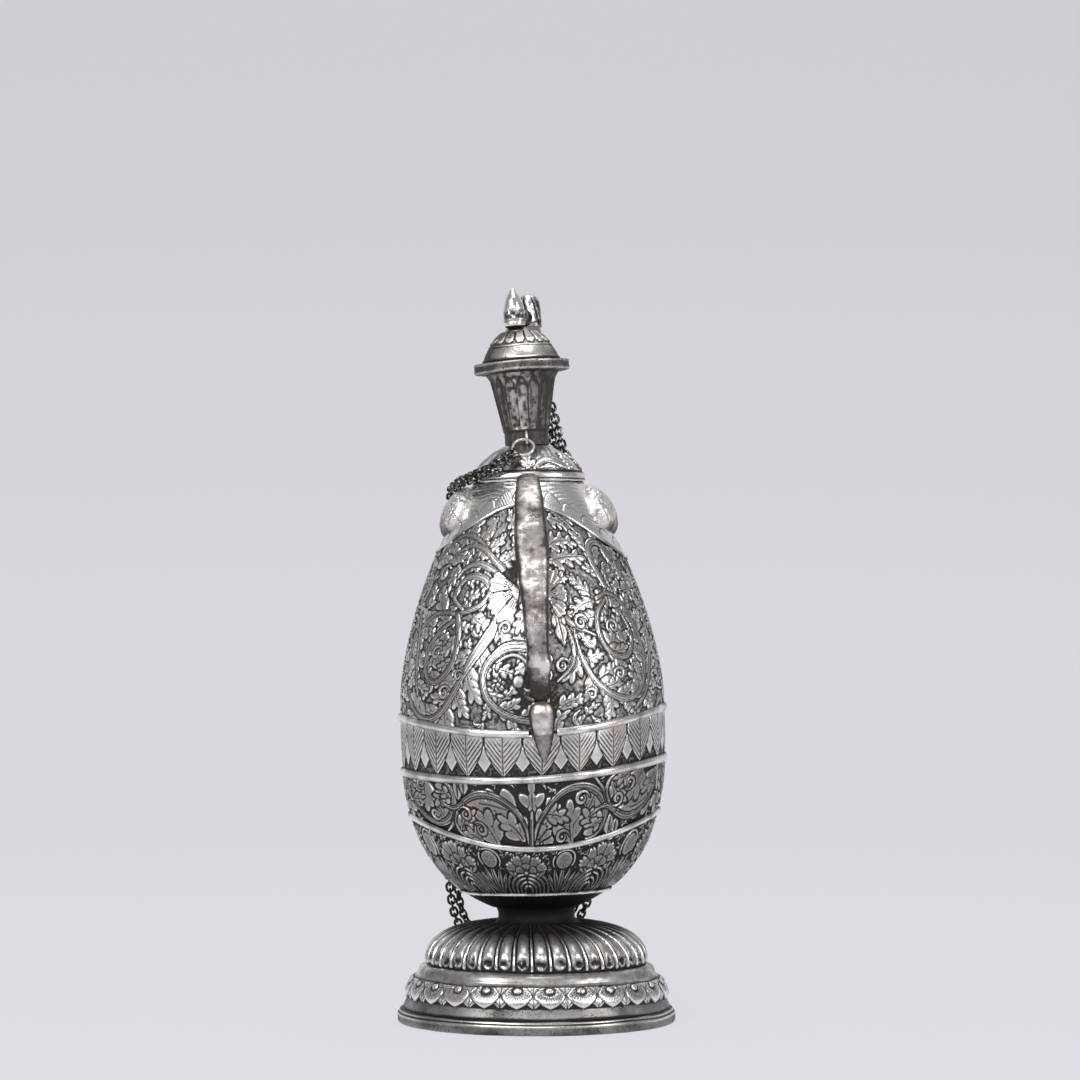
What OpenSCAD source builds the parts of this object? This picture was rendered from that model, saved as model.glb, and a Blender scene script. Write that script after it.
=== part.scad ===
// A footed, egg-shaped metal coffee pot with a cast handle, a curved spout, a fluted neck cup,
// a lift-off lid with a bird finial, and a doubled carrying chain slung round its shoulder.
// Millimetres, +Z up, the handle towards -Y and the spout towards +Y. The origin is at the
// centre of the foot's resting face.

/* [Foot] */
// Radius of the rolled rim that the pot stands on
foot_r = 55.5; // [52:0.5:60]
// Height of the rolled rim
foot_rim_h = 5.5; // [4.5:0.5:7]
// How far the skirt's foot stands in from the rim's edge
skirt_in = 2.2; // [1.8:0.1:4]
// Height of the skirt, from the rim to the plain step
skirt_h = 13.5; // [11:0.5:16]
// Radius of the skirt at its top
skirt_top_r = 48.6; // [47:0.1:50]
// Height of the plain step above the skirt
step_h = 4; // [3:0.5:6]
// Radius of the gadrooned dome at its base
dome_r = 43; // [40:0.5:44]
// Height of the gadrooned dome
dome_h = 15.5; // [12:0.5:20]
// Number of gadroons round the dome
gadroons = 38; // [24:2:48]
// How far each gadroon stands out of the dome
gadroon_depth = 1.5; // [0.8:0.1:2]
// Thickness of the plate that closes the foot
base_plate_t = 1.5; // [1:0.1:2.5]

/* [Stem] */
// Radius of the stem at its waist
stem_r = 15.2; // [13:0.1:17]
// Height of the stem, from the dome to the bowl
stem_h = 7.5; // [6:0.5:12]
// Radius of the stem where it meets the dome and the bowl
stem_flare_r = 17.8; // [17:0.1:19]

/* [Body] */
// Sideways lean of the body on its foot, in degrees
body_lean = 1.1; // [0:0.1:2]
// Largest radius of the belly
belly_r = 52.5; // [48:0.5:56]
// Height from the bowl's underside to the widest part
belly_h = 82; // [76:1:90]
// Height from the widest part to the collar
shoulder_h = 87; // [80:1:94]
// Radius of the body under the collar
shoulder_r = 22; // [20.5:0.1:23]
// Height from the bowl's underside to the seam between its two halves
seam_h = 66; // [60:0.5:70]
// Height of the bead ring above the bowl's underside
bead_h = 6.6; // [5:0.2:9]
// Thickness of the metal
wall = 1.6; // [1.2:0.1:2.2]
// Middle height of the lower belt above the bowl's underside
belt_lower_h = 31.4; // [28:0.2:34]
// How far the lower belt dips towards the handle and the spout
belt_lower_dip = 6; // [2:0.5:8]
// Middle height of the middle belt
belt_middle_h = 54.6; // [50:0.2:58]
// How far the middle belt dips, and how far it rises on the right
belt_middle_dip = 2; // [0:0.5:4]
// Middle height of the upper belt
belt_upper_h = 73.9; // [70:0.2:78]
// How far the upper belt dips towards the handle and the spout
belt_upper_dip = 3.6; // [1:0.2:5]
// Width of the raised belts
belt_w = 3.2; // [2.4:0.1:4]
// Height of the raised belts above the body
belt_t = 1.3; // [0.9:0.1:1.8]

/* [Shoulder] */
// Distance from the collar down to the border wire on the shoulder
border_drop = 19; // [14:0.5:24]
// How far the border arches up over the handle and the spout
border_arch = 10; // [4:0.5:12]
// Distance from the collar down to the middle of a boss
boss_drop = 12; // [10:0.5:16]
// Length of a boss along the slope of the shoulder
boss_l = 23; // [18:0.5:26]
// Width of a boss round the shoulder
boss_w = 30; // [24:0.5:32]
// How far a boss stands out
boss_t = 5; // [3.5:0.1:6]
// Radius of the collar's ring
collar_r = 22.8; // [21.5:0.1:24]
// Height of the collar's ring
collar_ring_h = 5; // [4:0.5:6.5]
// Height of the collar's dome above its ring
collar_dome_h = 9.6; // [8:0.2:12]

/* [Neck] */
// Further sideways lean of the neck, in degrees
neck_lean = 3; // [0:0.5:4]
// Radius of the plain ring at the neck's foot
neck_r = 8.7; // [8.4:0.1:9.5]
// Height of the plain ring
neck_ring_h = 6; // [5.8:0.1:7]
// Height of the fluted cup
cup_h = 21; // [18:0.5:28]
// Radius of the cup at its top
cup_r = 13.2; // [12.6:0.1:14]
// Number of flutes round the cup
flutes = 16; // [12:1:20]
// Depth of each flute
flute_depth = 0.7; // [0.4:0.1:0.9]
// Radius of the passage through the neck
passage_r = 6.6; // [6:0.1:7]
// Radius of the socket that the lid's plug stands in
socket_r = 9.3; // [8.8:0.1:9.6]
// Depth of the socket below the flange's top
socket_h = 15; // [12:0.5:18]
// Radius of the rim flange
flange_r = 19.2; // [18:0.1:21]
// Thickness of the rim flange
flange_t = 4.4; // [3.5:0.1:5.5]

/* [Lid] */
// Radius of the lid's edge
lid_r = 15.7; // [14:0.1:17]
// Height of the lid's dome
lid_h = 11.5; // [9:0.5:14]
// Length of the plug below the lid
plug_h = 9; // [6:0.5:11]
// Running clearance round the plug
plug_clearance = 0.3; // [0.2:0.05:0.5]
// Gap between the lid and the flange
lid_gap = 0.3; // [0.2:0.05:0.5]
// Radius of the finial's base
finial_r = 5.9; // [4.5:0.1:6.5]
// Height of the finial's base
finial_base_h = 2; // [1.5:0.1:3]
// Height of the bird
bird_h = 16; // [13:0.5:19]
// Distance of the bird's head from the lid's middle
bird_reach = 6; // [5:0.1:7]
// Turn of the bird away from the handle, in degrees
bird_turn = 36; // [0:1:60]

/* [Handle] */
// Reach of the handle from the pot's axis
handle_reach = 63; // [60:0.5:68]
// Greatest width of the handle
handle_w = 12.4; // [10:0.2:14]
// Thickness of the handle
handle_t = 7.6; // [6:0.2:9]
// Sideways lean of the handle against the body, in degrees
handle_lean = 2.4; // [0:0.2:4]
// Length of the leaf that ends the handle on the belly
leaf_l = 22; // [18:0.5:26]
// Width of that leaf
leaf_w = 8.8; // [7:0.2:10]

/* [Spout] */
// Reach of the spout from the pot's axis
spout_reach = 107; // [102:0.5:112]
// Height of the spout's root above the bowl's underside
spout_root_h = 98; // [94:0.5:102]
// Radius of the spout at its root
spout_root_r = 12; // [10:0.5:14]
// Radius of the spout behind its lip
spout_tip_r = 5.6; // [5.4:0.1:6.4]
// Thickness of the spout's metal
spout_wall = 1.3; // [1:0.1:1.6]

/* [Chain] */
// Diameter of one strand of the chain
strand_d = 3.4; // [2.6:0.1:3.6]
// Distance between the two strands
strand_gap = 3.9; // [3.8:0.1:4.2]
// Diameter of the wire of rings and staples
ring_wire = 1.1; // [0.8:0.1:1.4]
// Middle diameter of the jump rings
ring_d = 8.4; // [7.4:0.2:9.4]

/* [Hidden] */
$fn = 96;

silver = [0.74, 0.73, 0.71];
dark_silver = [0.36, 0.34, 0.33];
chain_grey = [0.42, 0.41, 0.40];

// Clearance between soldered pieces whose faces are curved
seat = 0.25;
far = 400;

// The skirt stands on the rim, and the rim's ledge reaches in under it
skirt_r = foot_r - skirt_in;
rim_in_r = skirt_r - wall - 1.7;

// Heights up the pot
dome_z = foot_rim_h + skirt_h + step_h;
stem_z = dome_z + dome_h;
bowl_z = stem_z + stem_h;
seam_z = bowl_z + seam_h;
belly_z = bowl_z + belly_h;
collar_z = belly_z + shoulder_h;
neck_z = collar_z + collar_ring_h + collar_dome_h;
cup_z = neck_z + neck_ring_h;
flange_z = cup_z + cup_h + 2.4;
flange_top_z = flange_z + flange_t;
lid_z = flange_top_z + lid_gap;
finial_z = lid_z + lid_h;
bird_z = finial_z + finial_base_h;

// ---------- curves ----------

function bezier(a, b, c, d, t) =
    pow(1 - t, 3) * a + 3 * pow(1 - t, 2) * t * b + 3 * (1 - t) * t * t * c + t * t * t * d;

function bezier_points(a, b, c, d, steps) = [for (i = [0 : steps]) bezier(a, b, c, d, i / steps)];

// A smooth curve through the points p: at u = i it passes through p[i]
function through(p, u) =
    let (i = max(0, min(floor(u), len(p) - 2)), t = u - i,
         a = p[max(i - 1, 0)], b = p[i], c = p[i + 1], d = p[min(i + 2, len(p) - 1)])
    0.5 * (2 * b + (c - a) * t + (2 * a - 5 * b + 4 * c - d) * t * t
           + (3 * b - a - 3 * c + d) * t * t * t);

function unit(v) = v / norm(v);

// The body's outline, radius and height, from the bowl's underside to the collar
function body_outline() = concat(
    bezier_points([stem_flare_r, bowl_z], [belly_r * 1.0705, bowl_z + belly_h * 0.195],
                  [belly_r, belly_z - belly_h * 0.2866], [belly_r, belly_z], 14),
    [for (i = [1 : 14])
        bezier([belly_r, belly_z], [belly_r, belly_z + shoulder_h * 0.2241],
               [shoulder_r + (belly_r - shoulder_r) * 0.6393, collar_z - shoulder_h / 3],
               [shoulder_r, collar_z], i / 14)]);

outline = body_outline();
outline_table = [for (p = outline) [p[1], p[0]]];
function body_radius(z) = lookup(z, outline_table);
function body_slope(z) = (body_radius(z + 2) - body_radius(z - 2)) / 4;

// The outward normal of the body's wall at height z, as radius and height
function body_normal(z) = unit([1, -body_slope(z)]);

// ---------- frames ----------

// The body, collar, handle and spout lean together on the stem
module on_body() {
    translate([0, 0, stem_z]) rotate([0, -body_lean, 0]) translate([0, 0, -stem_z]) children();
}

// The neck and lid lean a little further
module on_neck() {
    on_body() translate([0, 0, neck_z]) rotate([0, -neck_lean, 0]) translate([0, 0, -neck_z]) children();
}

// ---------- shared forms ----------

// A skin through rings of points, closed at both ends, or joined into a loop
module loft(rings, loop = false) {
    n = len(rings[0]);
    m = len(rings);
    last = loop ? m - 1 : m - 2;
    sides = [for (i = [0 : last]) for (j = [0 : n - 1])
        let (k = (i + 1) % m, l = (j + 1) % n)
        each [[i * n + j, k * n + j, k * n + l], [i * n + j, k * n + l, i * n + l]]];
    ends = loop ? [] : [[for (j = [0 : n - 1]) j], [for (j = [n - 1 : -1 : 0]) (m - 1) * n + j]];
    polyhedron([for (ring = rings) each ring], concat(sides, ends));
}

// A ring of an oval section: half-width w across and half-thickness t along the normal
function oval(centre, across, normal, w, t, sides) =
    [for (j = [0 : sides - 1])
        let (a = 360 * j / sides) centre + across * (w * cos(a)) + normal * (t * sin(a))];

// The body's outer form, grown by a clearance, from which soldered pieces are cut to fit
module body_form(grow = 0) {
    rotate_extrude()
        polygon(concat([[0, bowl_z - grow]],
                       [for (p = outline) p + body_normal(p[1]) * grow], [[0, collar_z + grow]]));
}

// The shell between the outline and its offset by the wall, between two heights
module body_shell(low, high) {
    intersection() {
        rotate_extrude()
            polygon(concat(outline,
                           [for (i = [len(outline) - 1 : -1 : 1]) outline[i] - body_normal(outline[i][1]) * wall],
                           [[0, outline[1][1] + wall], [0, bowl_z]]));
        translate([0, 0, low]) cylinder(r = far, h = high - low);
    }
}

// ---------- foot ----------

module base_plate() {
    color(silver) cylinder(r = foot_r - 4 - seat, h = base_plate_t);
}

module foot_rim() {
    color(silver) rotate_extrude() polygon([
        [foot_r - 4, 0], [foot_r - 0.6, 0], [foot_r, 1.2], [foot_r, foot_rim_h - 1.6],
        [foot_r - 0.8, foot_rim_h - 0.4], [foot_r - 2, foot_rim_h], [rim_in_r, foot_rim_h],
        [rim_in_r, base_plate_t + seat], [foot_r - 4, base_plate_t + seat]]);
}

// Plain cove, swelling leaf band and plain step, as one spun ring
module foot_skirt() {
    cove_z = foot_rim_h + 4.5;
    step_z = foot_rim_h + skirt_h;
    color(silver) rotate_extrude() polygon(concat(
        [[skirt_r - wall - 1, foot_rim_h], [skirt_r, foot_rim_h], [skirt_r - 1.2, cove_z - 0.6]],
        bezier_points([skirt_r - 1.4, cove_z], [skirt_r - 0.4, cove_z + 3.5],
                      [skirt_top_r + 1.4, step_z - 3], [skirt_top_r, step_z - 0.4], 6),
        [[skirt_top_r - 1.2, step_z], [skirt_top_r - 1.6, step_z + 1.4],
         [skirt_top_r - 2.6, step_z + step_h - 1], [dome_r + gadroon_depth - 0.4, dome_z],
         [dome_r - wall - 1.5, dome_z], [dome_r - wall - 1.5, dome_z - wall],
         [skirt_top_r - 3.4 - wall, step_z]]));
}

// One height of the dome: base radius and how much of the gadroon's depth is left there
function dome_row(t) =
    let (p = bezier([dome_r, 0], [dome_r + 1, 9], [dome_r - 8, dome_h - 1], [stem_flare_r + 1, dome_h], t))
    [p[0], dome_z + p[1], gadroon_depth * (1 - 0.55 * t) * min(1, 12 * t + 0.35)];

module foot_dome() {
    rows = 9;
    per_lobe = 4;
    n = gadroons * per_lobe;
    color(silver) difference() {
        loft([for (i = [0 : rows])
            let (row = dome_row(i / rows))
            [for (j = [0 : n - 1])
                let (a = 360 * j / n, r = row[0] + row[2] * (abs(sin(180 * j / per_lobe)) - 0.3))
                [r * sin(a), -r * cos(a), row[1]]]]);
        translate([0, 0, -wall]) rotate_extrude() polygon(concat(
            [[0, dome_z - 1], [dome_r - wall - 1.5, dome_z - 1]],
            [for (i = [0 : 8]) let (row = dome_row(i / 8)) [row[0] - wall - gadroon_depth, row[1]]],
            [[0, stem_z]]));
    }
}

// ---------- stem and body ----------

module stem() {
    color(dark_silver) difference() {
        on_body() rotate_extrude() polygon(concat(
            [[0, stem_z - 2], [stem_flare_r, stem_z - 2]],
            bezier_points([stem_flare_r, stem_z + 0.2], [stem_r - 0.6, stem_z + 2],
                          [stem_r - 0.6, bowl_z - 3], [stem_flare_r - 1.6, bowl_z], 8),
            [[0, bowl_z]]));
        translate([0, 0, stem_z - far]) cylinder(r = far, h = far);
    }
}

// The two halves of the body lap over each other at the seam
lap_h = 3;
lap_gap = 0.1;

module lower_bowl() {
    lap_r = body_radius(seam_z) - wall / 2;
    color(silver) on_body() difference() {
        body_shell(bowl_z, seam_z);
        translate([0, 0, seam_z - lap_h]) cylinder(r = lap_r, h = far);
    }
}

module upper_shell() {
    lap_r = body_radius(seam_z) - wall / 2 - lap_gap;
    lap_z = seam_z - lap_h + lap_gap;
    color(silver) on_body() difference() {
        union() {
            body_shell(seam_z, collar_z);
            difference() {
                translate([0, 0, lap_z]) cylinder(r = lap_r, h = seam_z - lap_z + 0.5);
                translate([0, 0, lap_z - 1]) cylinder(r = lap_r - wall / 2, h = far);
            }
        }
        translate([0, 0, bowl_z + spout_root_h]) rotate([-90, 0, 0])
            cylinder(r = spout_root_r - spout_wall - 2, h = far);
    }
}

// A wire soldered round the body. Its middle height is mid above the bowl's underside; it dips by
// dip towards the handle and the spout, and is raised by roll on the right.
function wire_height(mid, dip, roll, a) = bowl_z + mid - dip * cos(2 * a) + roll * sin(a);

module body_wire(mid, dip, roll, w, t, opening = 0, turn = 0) {
    steps = 64;
    first = turn + opening / 2;
    span = 360 - opening;
    section = [[0, -w / 2], [0.75 * t, -0.4 * w], [t, 0], [0.75 * t, 0.4 * w], [0, w / 2]];
    on_body() loft([for (i = [0 : opening > 0 ? steps : steps - 1])
        let (a = first + span * i / steps,
             z = wire_height(mid, dip, roll, a),
             n = body_normal(z),
             r = body_radius(z) + seat)
        [for (s = section)
            let (rr = r + n[0] * s[0] - n[1] * s[1], zz = z + n[1] * s[0] + n[0] * s[1])
            [rr * sin(a), -rr * cos(a), zz]]], loop = opening == 0);
}

module bowl_ring() {
    color(silver) body_wire(bead_h, 0, 0, 1.6, 0.9);
}

module belt_lower() {
    color(silver) body_wire(belt_lower_h, belt_lower_dip, 0, belt_w * 0.8, belt_t);
}

module belt_middle() {
    color(silver) body_wire(belt_middle_h, belt_middle_dip, belt_middle_dip, belt_w, belt_t);
}

// The upper belt is broken where the handle's leaf lies on the belly
module belt_upper() {
    leaf_x = sin(handle_lean) * (collar_z - bowl_z - belt_upper_h);
    color(silver) body_wire(belt_upper_h, belt_upper_dip, belt_upper_dip / 3, belt_w, belt_t,
                            opening = 2 * asin((leaf_w / 2 + 1.4) / belly_r), turn = asin(leaf_x / belly_r));
}

module shoulder_border() {
    color(silver) body_wire(collar_z - bowl_z - border_drop, -border_arch, -border_arch / 5, 1.8, 0.9);
}

// ---------- shoulder ----------

// An oval cast dome cut to lie on the shoulder, side = -1 on the left and 1 on the right
module boss(side) {
    z = collar_z - boss_drop;
    n = body_normal(z);
    rings = 7;
    color(silver) on_body() difference() {
        translate([side * (body_radius(z) - 2), 0, z])
            rotate([0, side * (90 - atan2(n[1], n[0])), 0])
                loft(concat(
                    [[for (j = [0 : 27]) let (a = 360 * j / 28) [boss_l / 2 * cos(a), boss_w / 2 * sin(a), -4]]],
                    [for (i = [0 : rings])
                        let (b = 86 * i / rings)
                        [for (j = [0 : 27])
                            let (a = 360 * j / 28)
                            [boss_l / 2 * cos(b) * cos(a), boss_w / 2 * cos(b) * sin(a), (boss_t + 2) * sin(b)]]]));
        body_form(seat);
    }
}

module boss_left() {
    boss(-1);
}

module boss_right() {
    boss(1);
}

// A stepped ring with a low dome over it, spun in one piece, with a spigot inside the shell
module shoulder_collar() {
    ring_z = collar_z + collar_ring_h;
    inner = shoulder_r - wall - 0.6;
    color(silver) on_body() rotate_extrude() polygon(concat(
        [[inner - 1.4, collar_z - 2], [inner, collar_z - 2], [inner, collar_z],
         [collar_r - 0.5, collar_z], [collar_r, collar_z + 0.8], [collar_r, ring_z - 1.4],
         [collar_r - 0.7, ring_z - 0.5], [collar_r - 1.2, ring_z]],
        bezier_points([collar_r - 2.4, ring_z + 0.2], [collar_r - 3.2, ring_z + 3.4],
                      [collar_r - 10.3, neck_z - 1.6], [neck_r + 0.6, neck_z], 8),
        [[passage_r, neck_z], [passage_r, neck_z - wall], [collar_r - 11, neck_z - wall - 2],
         [collar_r - 6, ring_z], [inner - 1.4, collar_z]]));
}

// ---------- neck ----------

// Outline of the neck at radius r, with shallow hollows of this depth between narrow ridges
function fluted(r, z, depth) = [for (j = [0 : flutes * 4 - 1])
    let (a = 360 * j / (flutes * 4), rr = r - depth * abs(sin(180 * j / 4)))
    [rr * cos(a), rr * sin(a), z]];

module neck() {
    moulding_z = cup_z + cup_h;
    color(silver) difference() {
        on_neck() difference() {
            loft([fluted(neck_r, neck_z - 2, 0), fluted(neck_r, cup_z - 0.5, 0),
                  fluted(neck_r + 0.5, cup_z, flute_depth * 0.6),
                  fluted(cup_r - 1.2, cup_z + cup_h * 0.7, flute_depth),
                  fluted(cup_r, moulding_z, flute_depth), fluted(cup_r + 0.2, moulding_z + 0.4, 0),
                  fluted(cup_r + 1.6, flange_z, 0)]);
            translate([0, 0, neck_z - 4]) cylinder(r = passage_r, h = far);
            translate([0, 0, flange_top_z - socket_h]) cylinder(r = socket_r, h = far);
        }
        on_body() translate([0, 0, neck_z - far]) cylinder(r = far, h = far);
    }
}

module rim_flange() {
    color(silver) on_neck() rotate_extrude() polygon([
        [socket_r, flange_z], [cup_r + 2.4, flange_z], [flange_r - 0.8, flange_z + 0.5],
        [flange_r, flange_z + 1.2], [flange_r, flange_top_z - 0.6], [flange_r - 0.6, flange_top_z],
        [socket_r, flange_top_z]]);
}

// ---------- lid ----------

plug_r = socket_r - plug_clearance;
rivet_r = 1.2;
rivet_clearance = 0.1;

// Outline of the lid's dome from its lip to the flat under the finial, moved out by this clearance
function dome_line(out) = bezier_points(
    [lid_r - 0.6 + out, lid_z + 1.3], [lid_r - 2 + out, finial_z - lid_h * 0.54],
    [finial_r + 4.8 + out, finial_z - lid_h * 0.23], [finial_r + 1.2 + out, finial_z], 8);

module lid_dome() {
    color(silver) on_neck() difference() {
        rotate_extrude() polygon(concat(
            [[0, lid_z], [lid_r - 0.4, lid_z], [lid_r, lid_z + 0.5], [lid_r - 0.3, lid_z + 1.1]],
            dome_line(0), [[0, finial_z]]));
        translate([0, 0, lid_z - 1]) cylinder(r1 = plug_r - 1.4, r2 = rivet_r + 1.6, h = lid_h - 1.2);
        translate([0, 0, lid_z]) cylinder(r = rivet_r + rivet_clearance, h = far);
    }
}

// A closed cup that stands in the neck's socket
module lid_plug() {
    color(silver) on_neck() translate([0, 0, lid_z - plug_h]) difference() {
        cylinder(r = plug_r, h = plug_h);
        translate([0, 0, 1.5]) cylinder(r = plug_r - 1.4, h = plug_h);
    }
}

// A seat for the bird: a disc on the dome's flat, with an apron that runs down the dome under the
// bird's head and keeps off it by the seat clearance
module finial_base() {
    apron = 3.4;
    color(silver) on_neck() difference() {
        hull() {
            translate([0, 0, finial_z]) cylinder(r = finial_r, h = 0.8);
            translate([0, 0, finial_z]) cylinder(r = finial_r - 1, h = finial_base_h);
            bird_frame() translate([0, bird_reach - 1.2, -finial_base_h - apron])
                cylinder(r1 = finial_r - 0.2, r2 = finial_r - 1.2, h = finial_base_h + apron);
        }
        rotate_extrude() polygon(concat([[0, lid_z], [lid_r + seat, lid_z]], dome_line(seat),
                                        [[0, finial_z]]));
        translate([0, 0, finial_z - 1]) cylinder(r = rivet_r + rivet_clearance, h = far);
    }
}

// The rivet that holds bird and base to the lid, its head closed over inside the dome
module finial_rivet() {
    shank_low = finial_z - 3.4;
    color(silver) on_neck() {
        translate([0, 0, shank_low]) cylinder(r = rivet_r, h = bird_z - shank_low);
        translate([0, 0, shank_low]) cylinder(r = rivet_r + 0.9, h = 1);
    }
}

// Where the bird stands: a little right of the lid's middle, its head turned to the far right
module bird_frame() {
    translate([0, 0, bird_z]) rotate([0, 0, -bird_turn]) translate([1.2, 0, 0]) children();
}

// A perched bird cast in one piece: its tail stands up like a bud at the near end, and neck and
// head make a taller, blunt form at the far end
module finial_bird() {
    s = bird_h / 16;
    head = bird_reach;
    tail = -bird_reach * 0.7;
    color(silver) on_neck() bird_frame() {
        translate([0, tail, 0]) scale(s) rotate_extrude($fn = 36) polygon(concat(
            [[0, 0], [3.6, 0], [4.2, 0.8]],
            bezier_points([4.4, 3.4], [4.5, 8.4], [3.4, 12], [0.5, 15.8], 8),
            [[0, 16]]));
        hull() {
            translate([0, tail * 0.7, 3.6 * s]) sphere(r = 3.6 * s, $fn = 18);
            translate([0, head * 0.8, 4.2 * s]) sphere(r = 4.2 * s, $fn = 18);
        }
        translate([0, head, 0]) scale(s) rotate_extrude($fn = 36) polygon(concat(
            [[0, 0], [4.8, 0]],
            bezier_points([4.7, 1.5], [4.9, 10], [4.7, 13.5], [0, 13.5], 8)));
        hull() {
            translate([0, head + 3.6 * s, 9.6 * s]) sphere(r = 1.8 * s, $fn = 16);
            translate([0, head + 6.8 * s, 8.4 * s]) sphere(r = 0.4 * s, $fn = 12);
        }
    }
}

// ---------- handle ----------

// Height of the collar's seat above the bowl's underside
shoulder_top = collar_z - bowl_z;
// Middle line of the handle as reach and height above the bowl's underside, top to bottom
handle_line = [[-19, shoulder_top - 6.5], [-27, shoulder_top - 1.2], [-36, shoulder_top - 2.2],
               [-46, shoulder_top - 9], [-55, shoulder_top - 20.5],
               [2 - handle_reach, 134], [0.3 - handle_reach, 118], [1 - handle_reach, 103],
               [4.5 - handle_reach, 93], [9.5 - handle_reach, 87], [17 - handle_reach, 85.2]];
// Share of the full width at each of those points
handle_widths = [0.7, 0.78, 0.95, 1, 0.95, 0.9, 0.86, 0.72, 0.68, 0.68, 0.66];
handle_thickness = [0.95, 0.95, 1, 1, 1, 1, 1, 0.98, 0.9, 0.9, 0.9];

module handle_frame() {
    on_body() translate([0, 0, collar_z]) rotate([0, -handle_lean, 0]) translate([0, 0, -collar_z])
        children();
}

module handle() {
    steps = 34;
    u_end = len(handle_line) - 1;
    knuckle_u = 7.2;
    color(silver) difference() {
        handle_frame() loft([for (i = [0 : steps])
            let (u = u_end * i / steps,
                 p = through(handle_line, u),
                 q = through(handle_line, min(u + 0.05, u_end)) - through(handle_line, max(u - 0.05, 0)),
                 n = unit([q[1], -q[0]]),
                 swell = 1 + 0.16 * exp(-pow((u - knuckle_u) * 3.4, 2)),
                 w = handle_w / 2 * swell * through(handle_widths, u),
                 t = handle_t / 2 * swell * through(handle_thickness, u))
            oval([0, p[0], bowl_z + p[1]], [1, 0, 0], [0, n[0], n[1]], w, t, 14)]);
        on_body() body_form(seat);
        on_body() translate([0, 0, collar_z - 3]) cylinder(r = collar_r + seat, h = 20);
    }
}

// The pointed leaf that the handle ends in, soldered to the belly
module handle_leaf() {
    top_h = 81;
    spots = [[0, leaf_w / 2 - 0.2, 0.3], [0.3, leaf_w / 2 - 0.9, 0.2], [1, 0.7, 0.4]];
    color(silver) difference() {
        handle_frame() hull() for (s = spots) {
            z = bowl_z + top_h - leaf_w / 2 - s[0] * (leaf_l - leaf_w / 2 - 0.7);
            translate([0, -body_radius(z) - s[2], z]) sphere(r = s[1], $fn = 22);
        }
        on_body() body_form(seat);
    }
}

// ---------- spout ----------

spout_z = bowl_z + spout_root_h;
// Middle line of the spout as reach and height above its root's middle
spout_line = [[44, -4], [52, -1], [62, 3], [72, 10], [80, 21.5], [85.5, 36],
              [spout_reach - 17.5, 51], [spout_reach - 12.5, 65], [spout_reach - 6.5, 74.5], [spout_reach, 78]];
// Share of the way from the tip's radius to the root's at each of those points
spout_taper = [1.05, 1, 0.72, 0.46, 0.28, 0.17, 0.09, 0.04, 0, 0];

// Rings of the spout's outside, or of its channel when inset by the metal
function spout_rings(inset, steps) = [for (i = [0 : steps])
    let (e = len(spout_line) - 1,
         u = e * i / steps,
         p = through(spout_line, u),
         q = through(spout_line, min(u + 0.05, e)) - through(spout_line, max(u - 0.05, 0)),
         n = unit([q[1], -q[0]]),
         r = spout_tip_r + (spout_root_r - spout_tip_r) * through(spout_taper, u) - inset)
    oval([0, p[0], spout_z + p[1]], [1, 0, 0], [0, n[0], n[1]], r, r, 20)];

module spout() {
    steps = 22;
    outside = spout_rings(0, steps);
    channel = spout_rings(spout_wall, steps);
    color(silver) on_body() difference() {
        loft(concat(outside, [for (i = [steps : -1 : 0]) channel[i]]), loop = true);
        body_form(seat);
    }
}

// A wire ring round the spout's root, bedded on the belly
module spout_collar() {
    color(silver) on_body() difference() {
        translate([0, body_radius(spout_z) - 6, spout_z - 1.2]) rotate([-70, 0, 0])
            rotate_extrude() translate([spout_root_r + 1.9, 0]) polygon([
                [-0.9, 0], [0.9, 0], [0.9, 8.4], [0.3, 9.2], [-0.9, 9.6]]);
        body_form(seat);
        loft([for (ring = spout_rings(-seat, 22)) ring]);
    }
}

// A bead round the mouth of the spout
module spout_lip() {
    e = len(spout_line) - 1;
    q = spout_line[e] - spout_line[e - 1];
    color(silver) on_body() translate([0, spout_line[e][0], spout_z + spout_line[e][1]])
        rotate([atan2(q[1], q[0]) - 90, 0, 0]) rotate_extrude()
            translate([spout_tip_r - spout_wall / 2, seat + 0.9]) circle(r = 0.9, $fn = 24);
}

// ---------- chain ----------

// Middle route of the doubled chain, from the near ring over the left shoulder, down behind the
// belly, round behind the foot, up again and over the right shoulder to the far ring
chain_route = [
    [-9.5, -21, 225.5], [-14, -21.5, 222], [-20.5, -19.5, 218.5], [-26.5, -13, 216.5], [-30.5, -3, 215],
    [-33, 7.5, 214], [-33.5, 18, 204], [-33, 26, 187], [-35.5, 33.5, 166.5], [-36.5, 40.5, 143],
    [-37, 43.5, 116], [-36.5, 44.5, 86], [-35, 45.5, 58], [-31.5, 47, 37], [-21.5, 49.5, 27],
    [-6, 51.5, 24], [8, 50, 28], [17, 48, 39.5], [23.5, 46.5, 57], [28.5, 45.5, 84],
    [32, 45.5, 114], [32.5, 41.5, 141], [30.5, 35, 165], [28, 27.5, 186], [24, 21.5, 200.5],
    [18.5, 18, 211], [14, 16.5, 220.5], [9.5, 15.5, 229], [6.8, 15.8, 238], [4.6, 16.2, 245.6]];

module strand(side) {
    steps = 39;
    last = len(chain_route) - 1;
    color(chain_grey) loft([for (i = [0 : steps])
        let (u = last * i / steps,
             p = through(chain_route, u),
             d = unit(through(chain_route, min(u + 0.05, last)) - through(chain_route, max(u - 0.05, 0))),
             rise = min(1, max(0, (p[2] - 150) / 55)),
             out = unit([unit([p[0], p[1]])[0], unit([p[0], p[1]])[1], rise]),
             across = unit(cross(d, out)),
             n = cross(d, across),
             c = p + across * (side * strand_gap / 2))
        oval(c, across, n, strand_d / 2, strand_d / 2, 8)]);
}

module strand_left() {
    strand(1);
}

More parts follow.
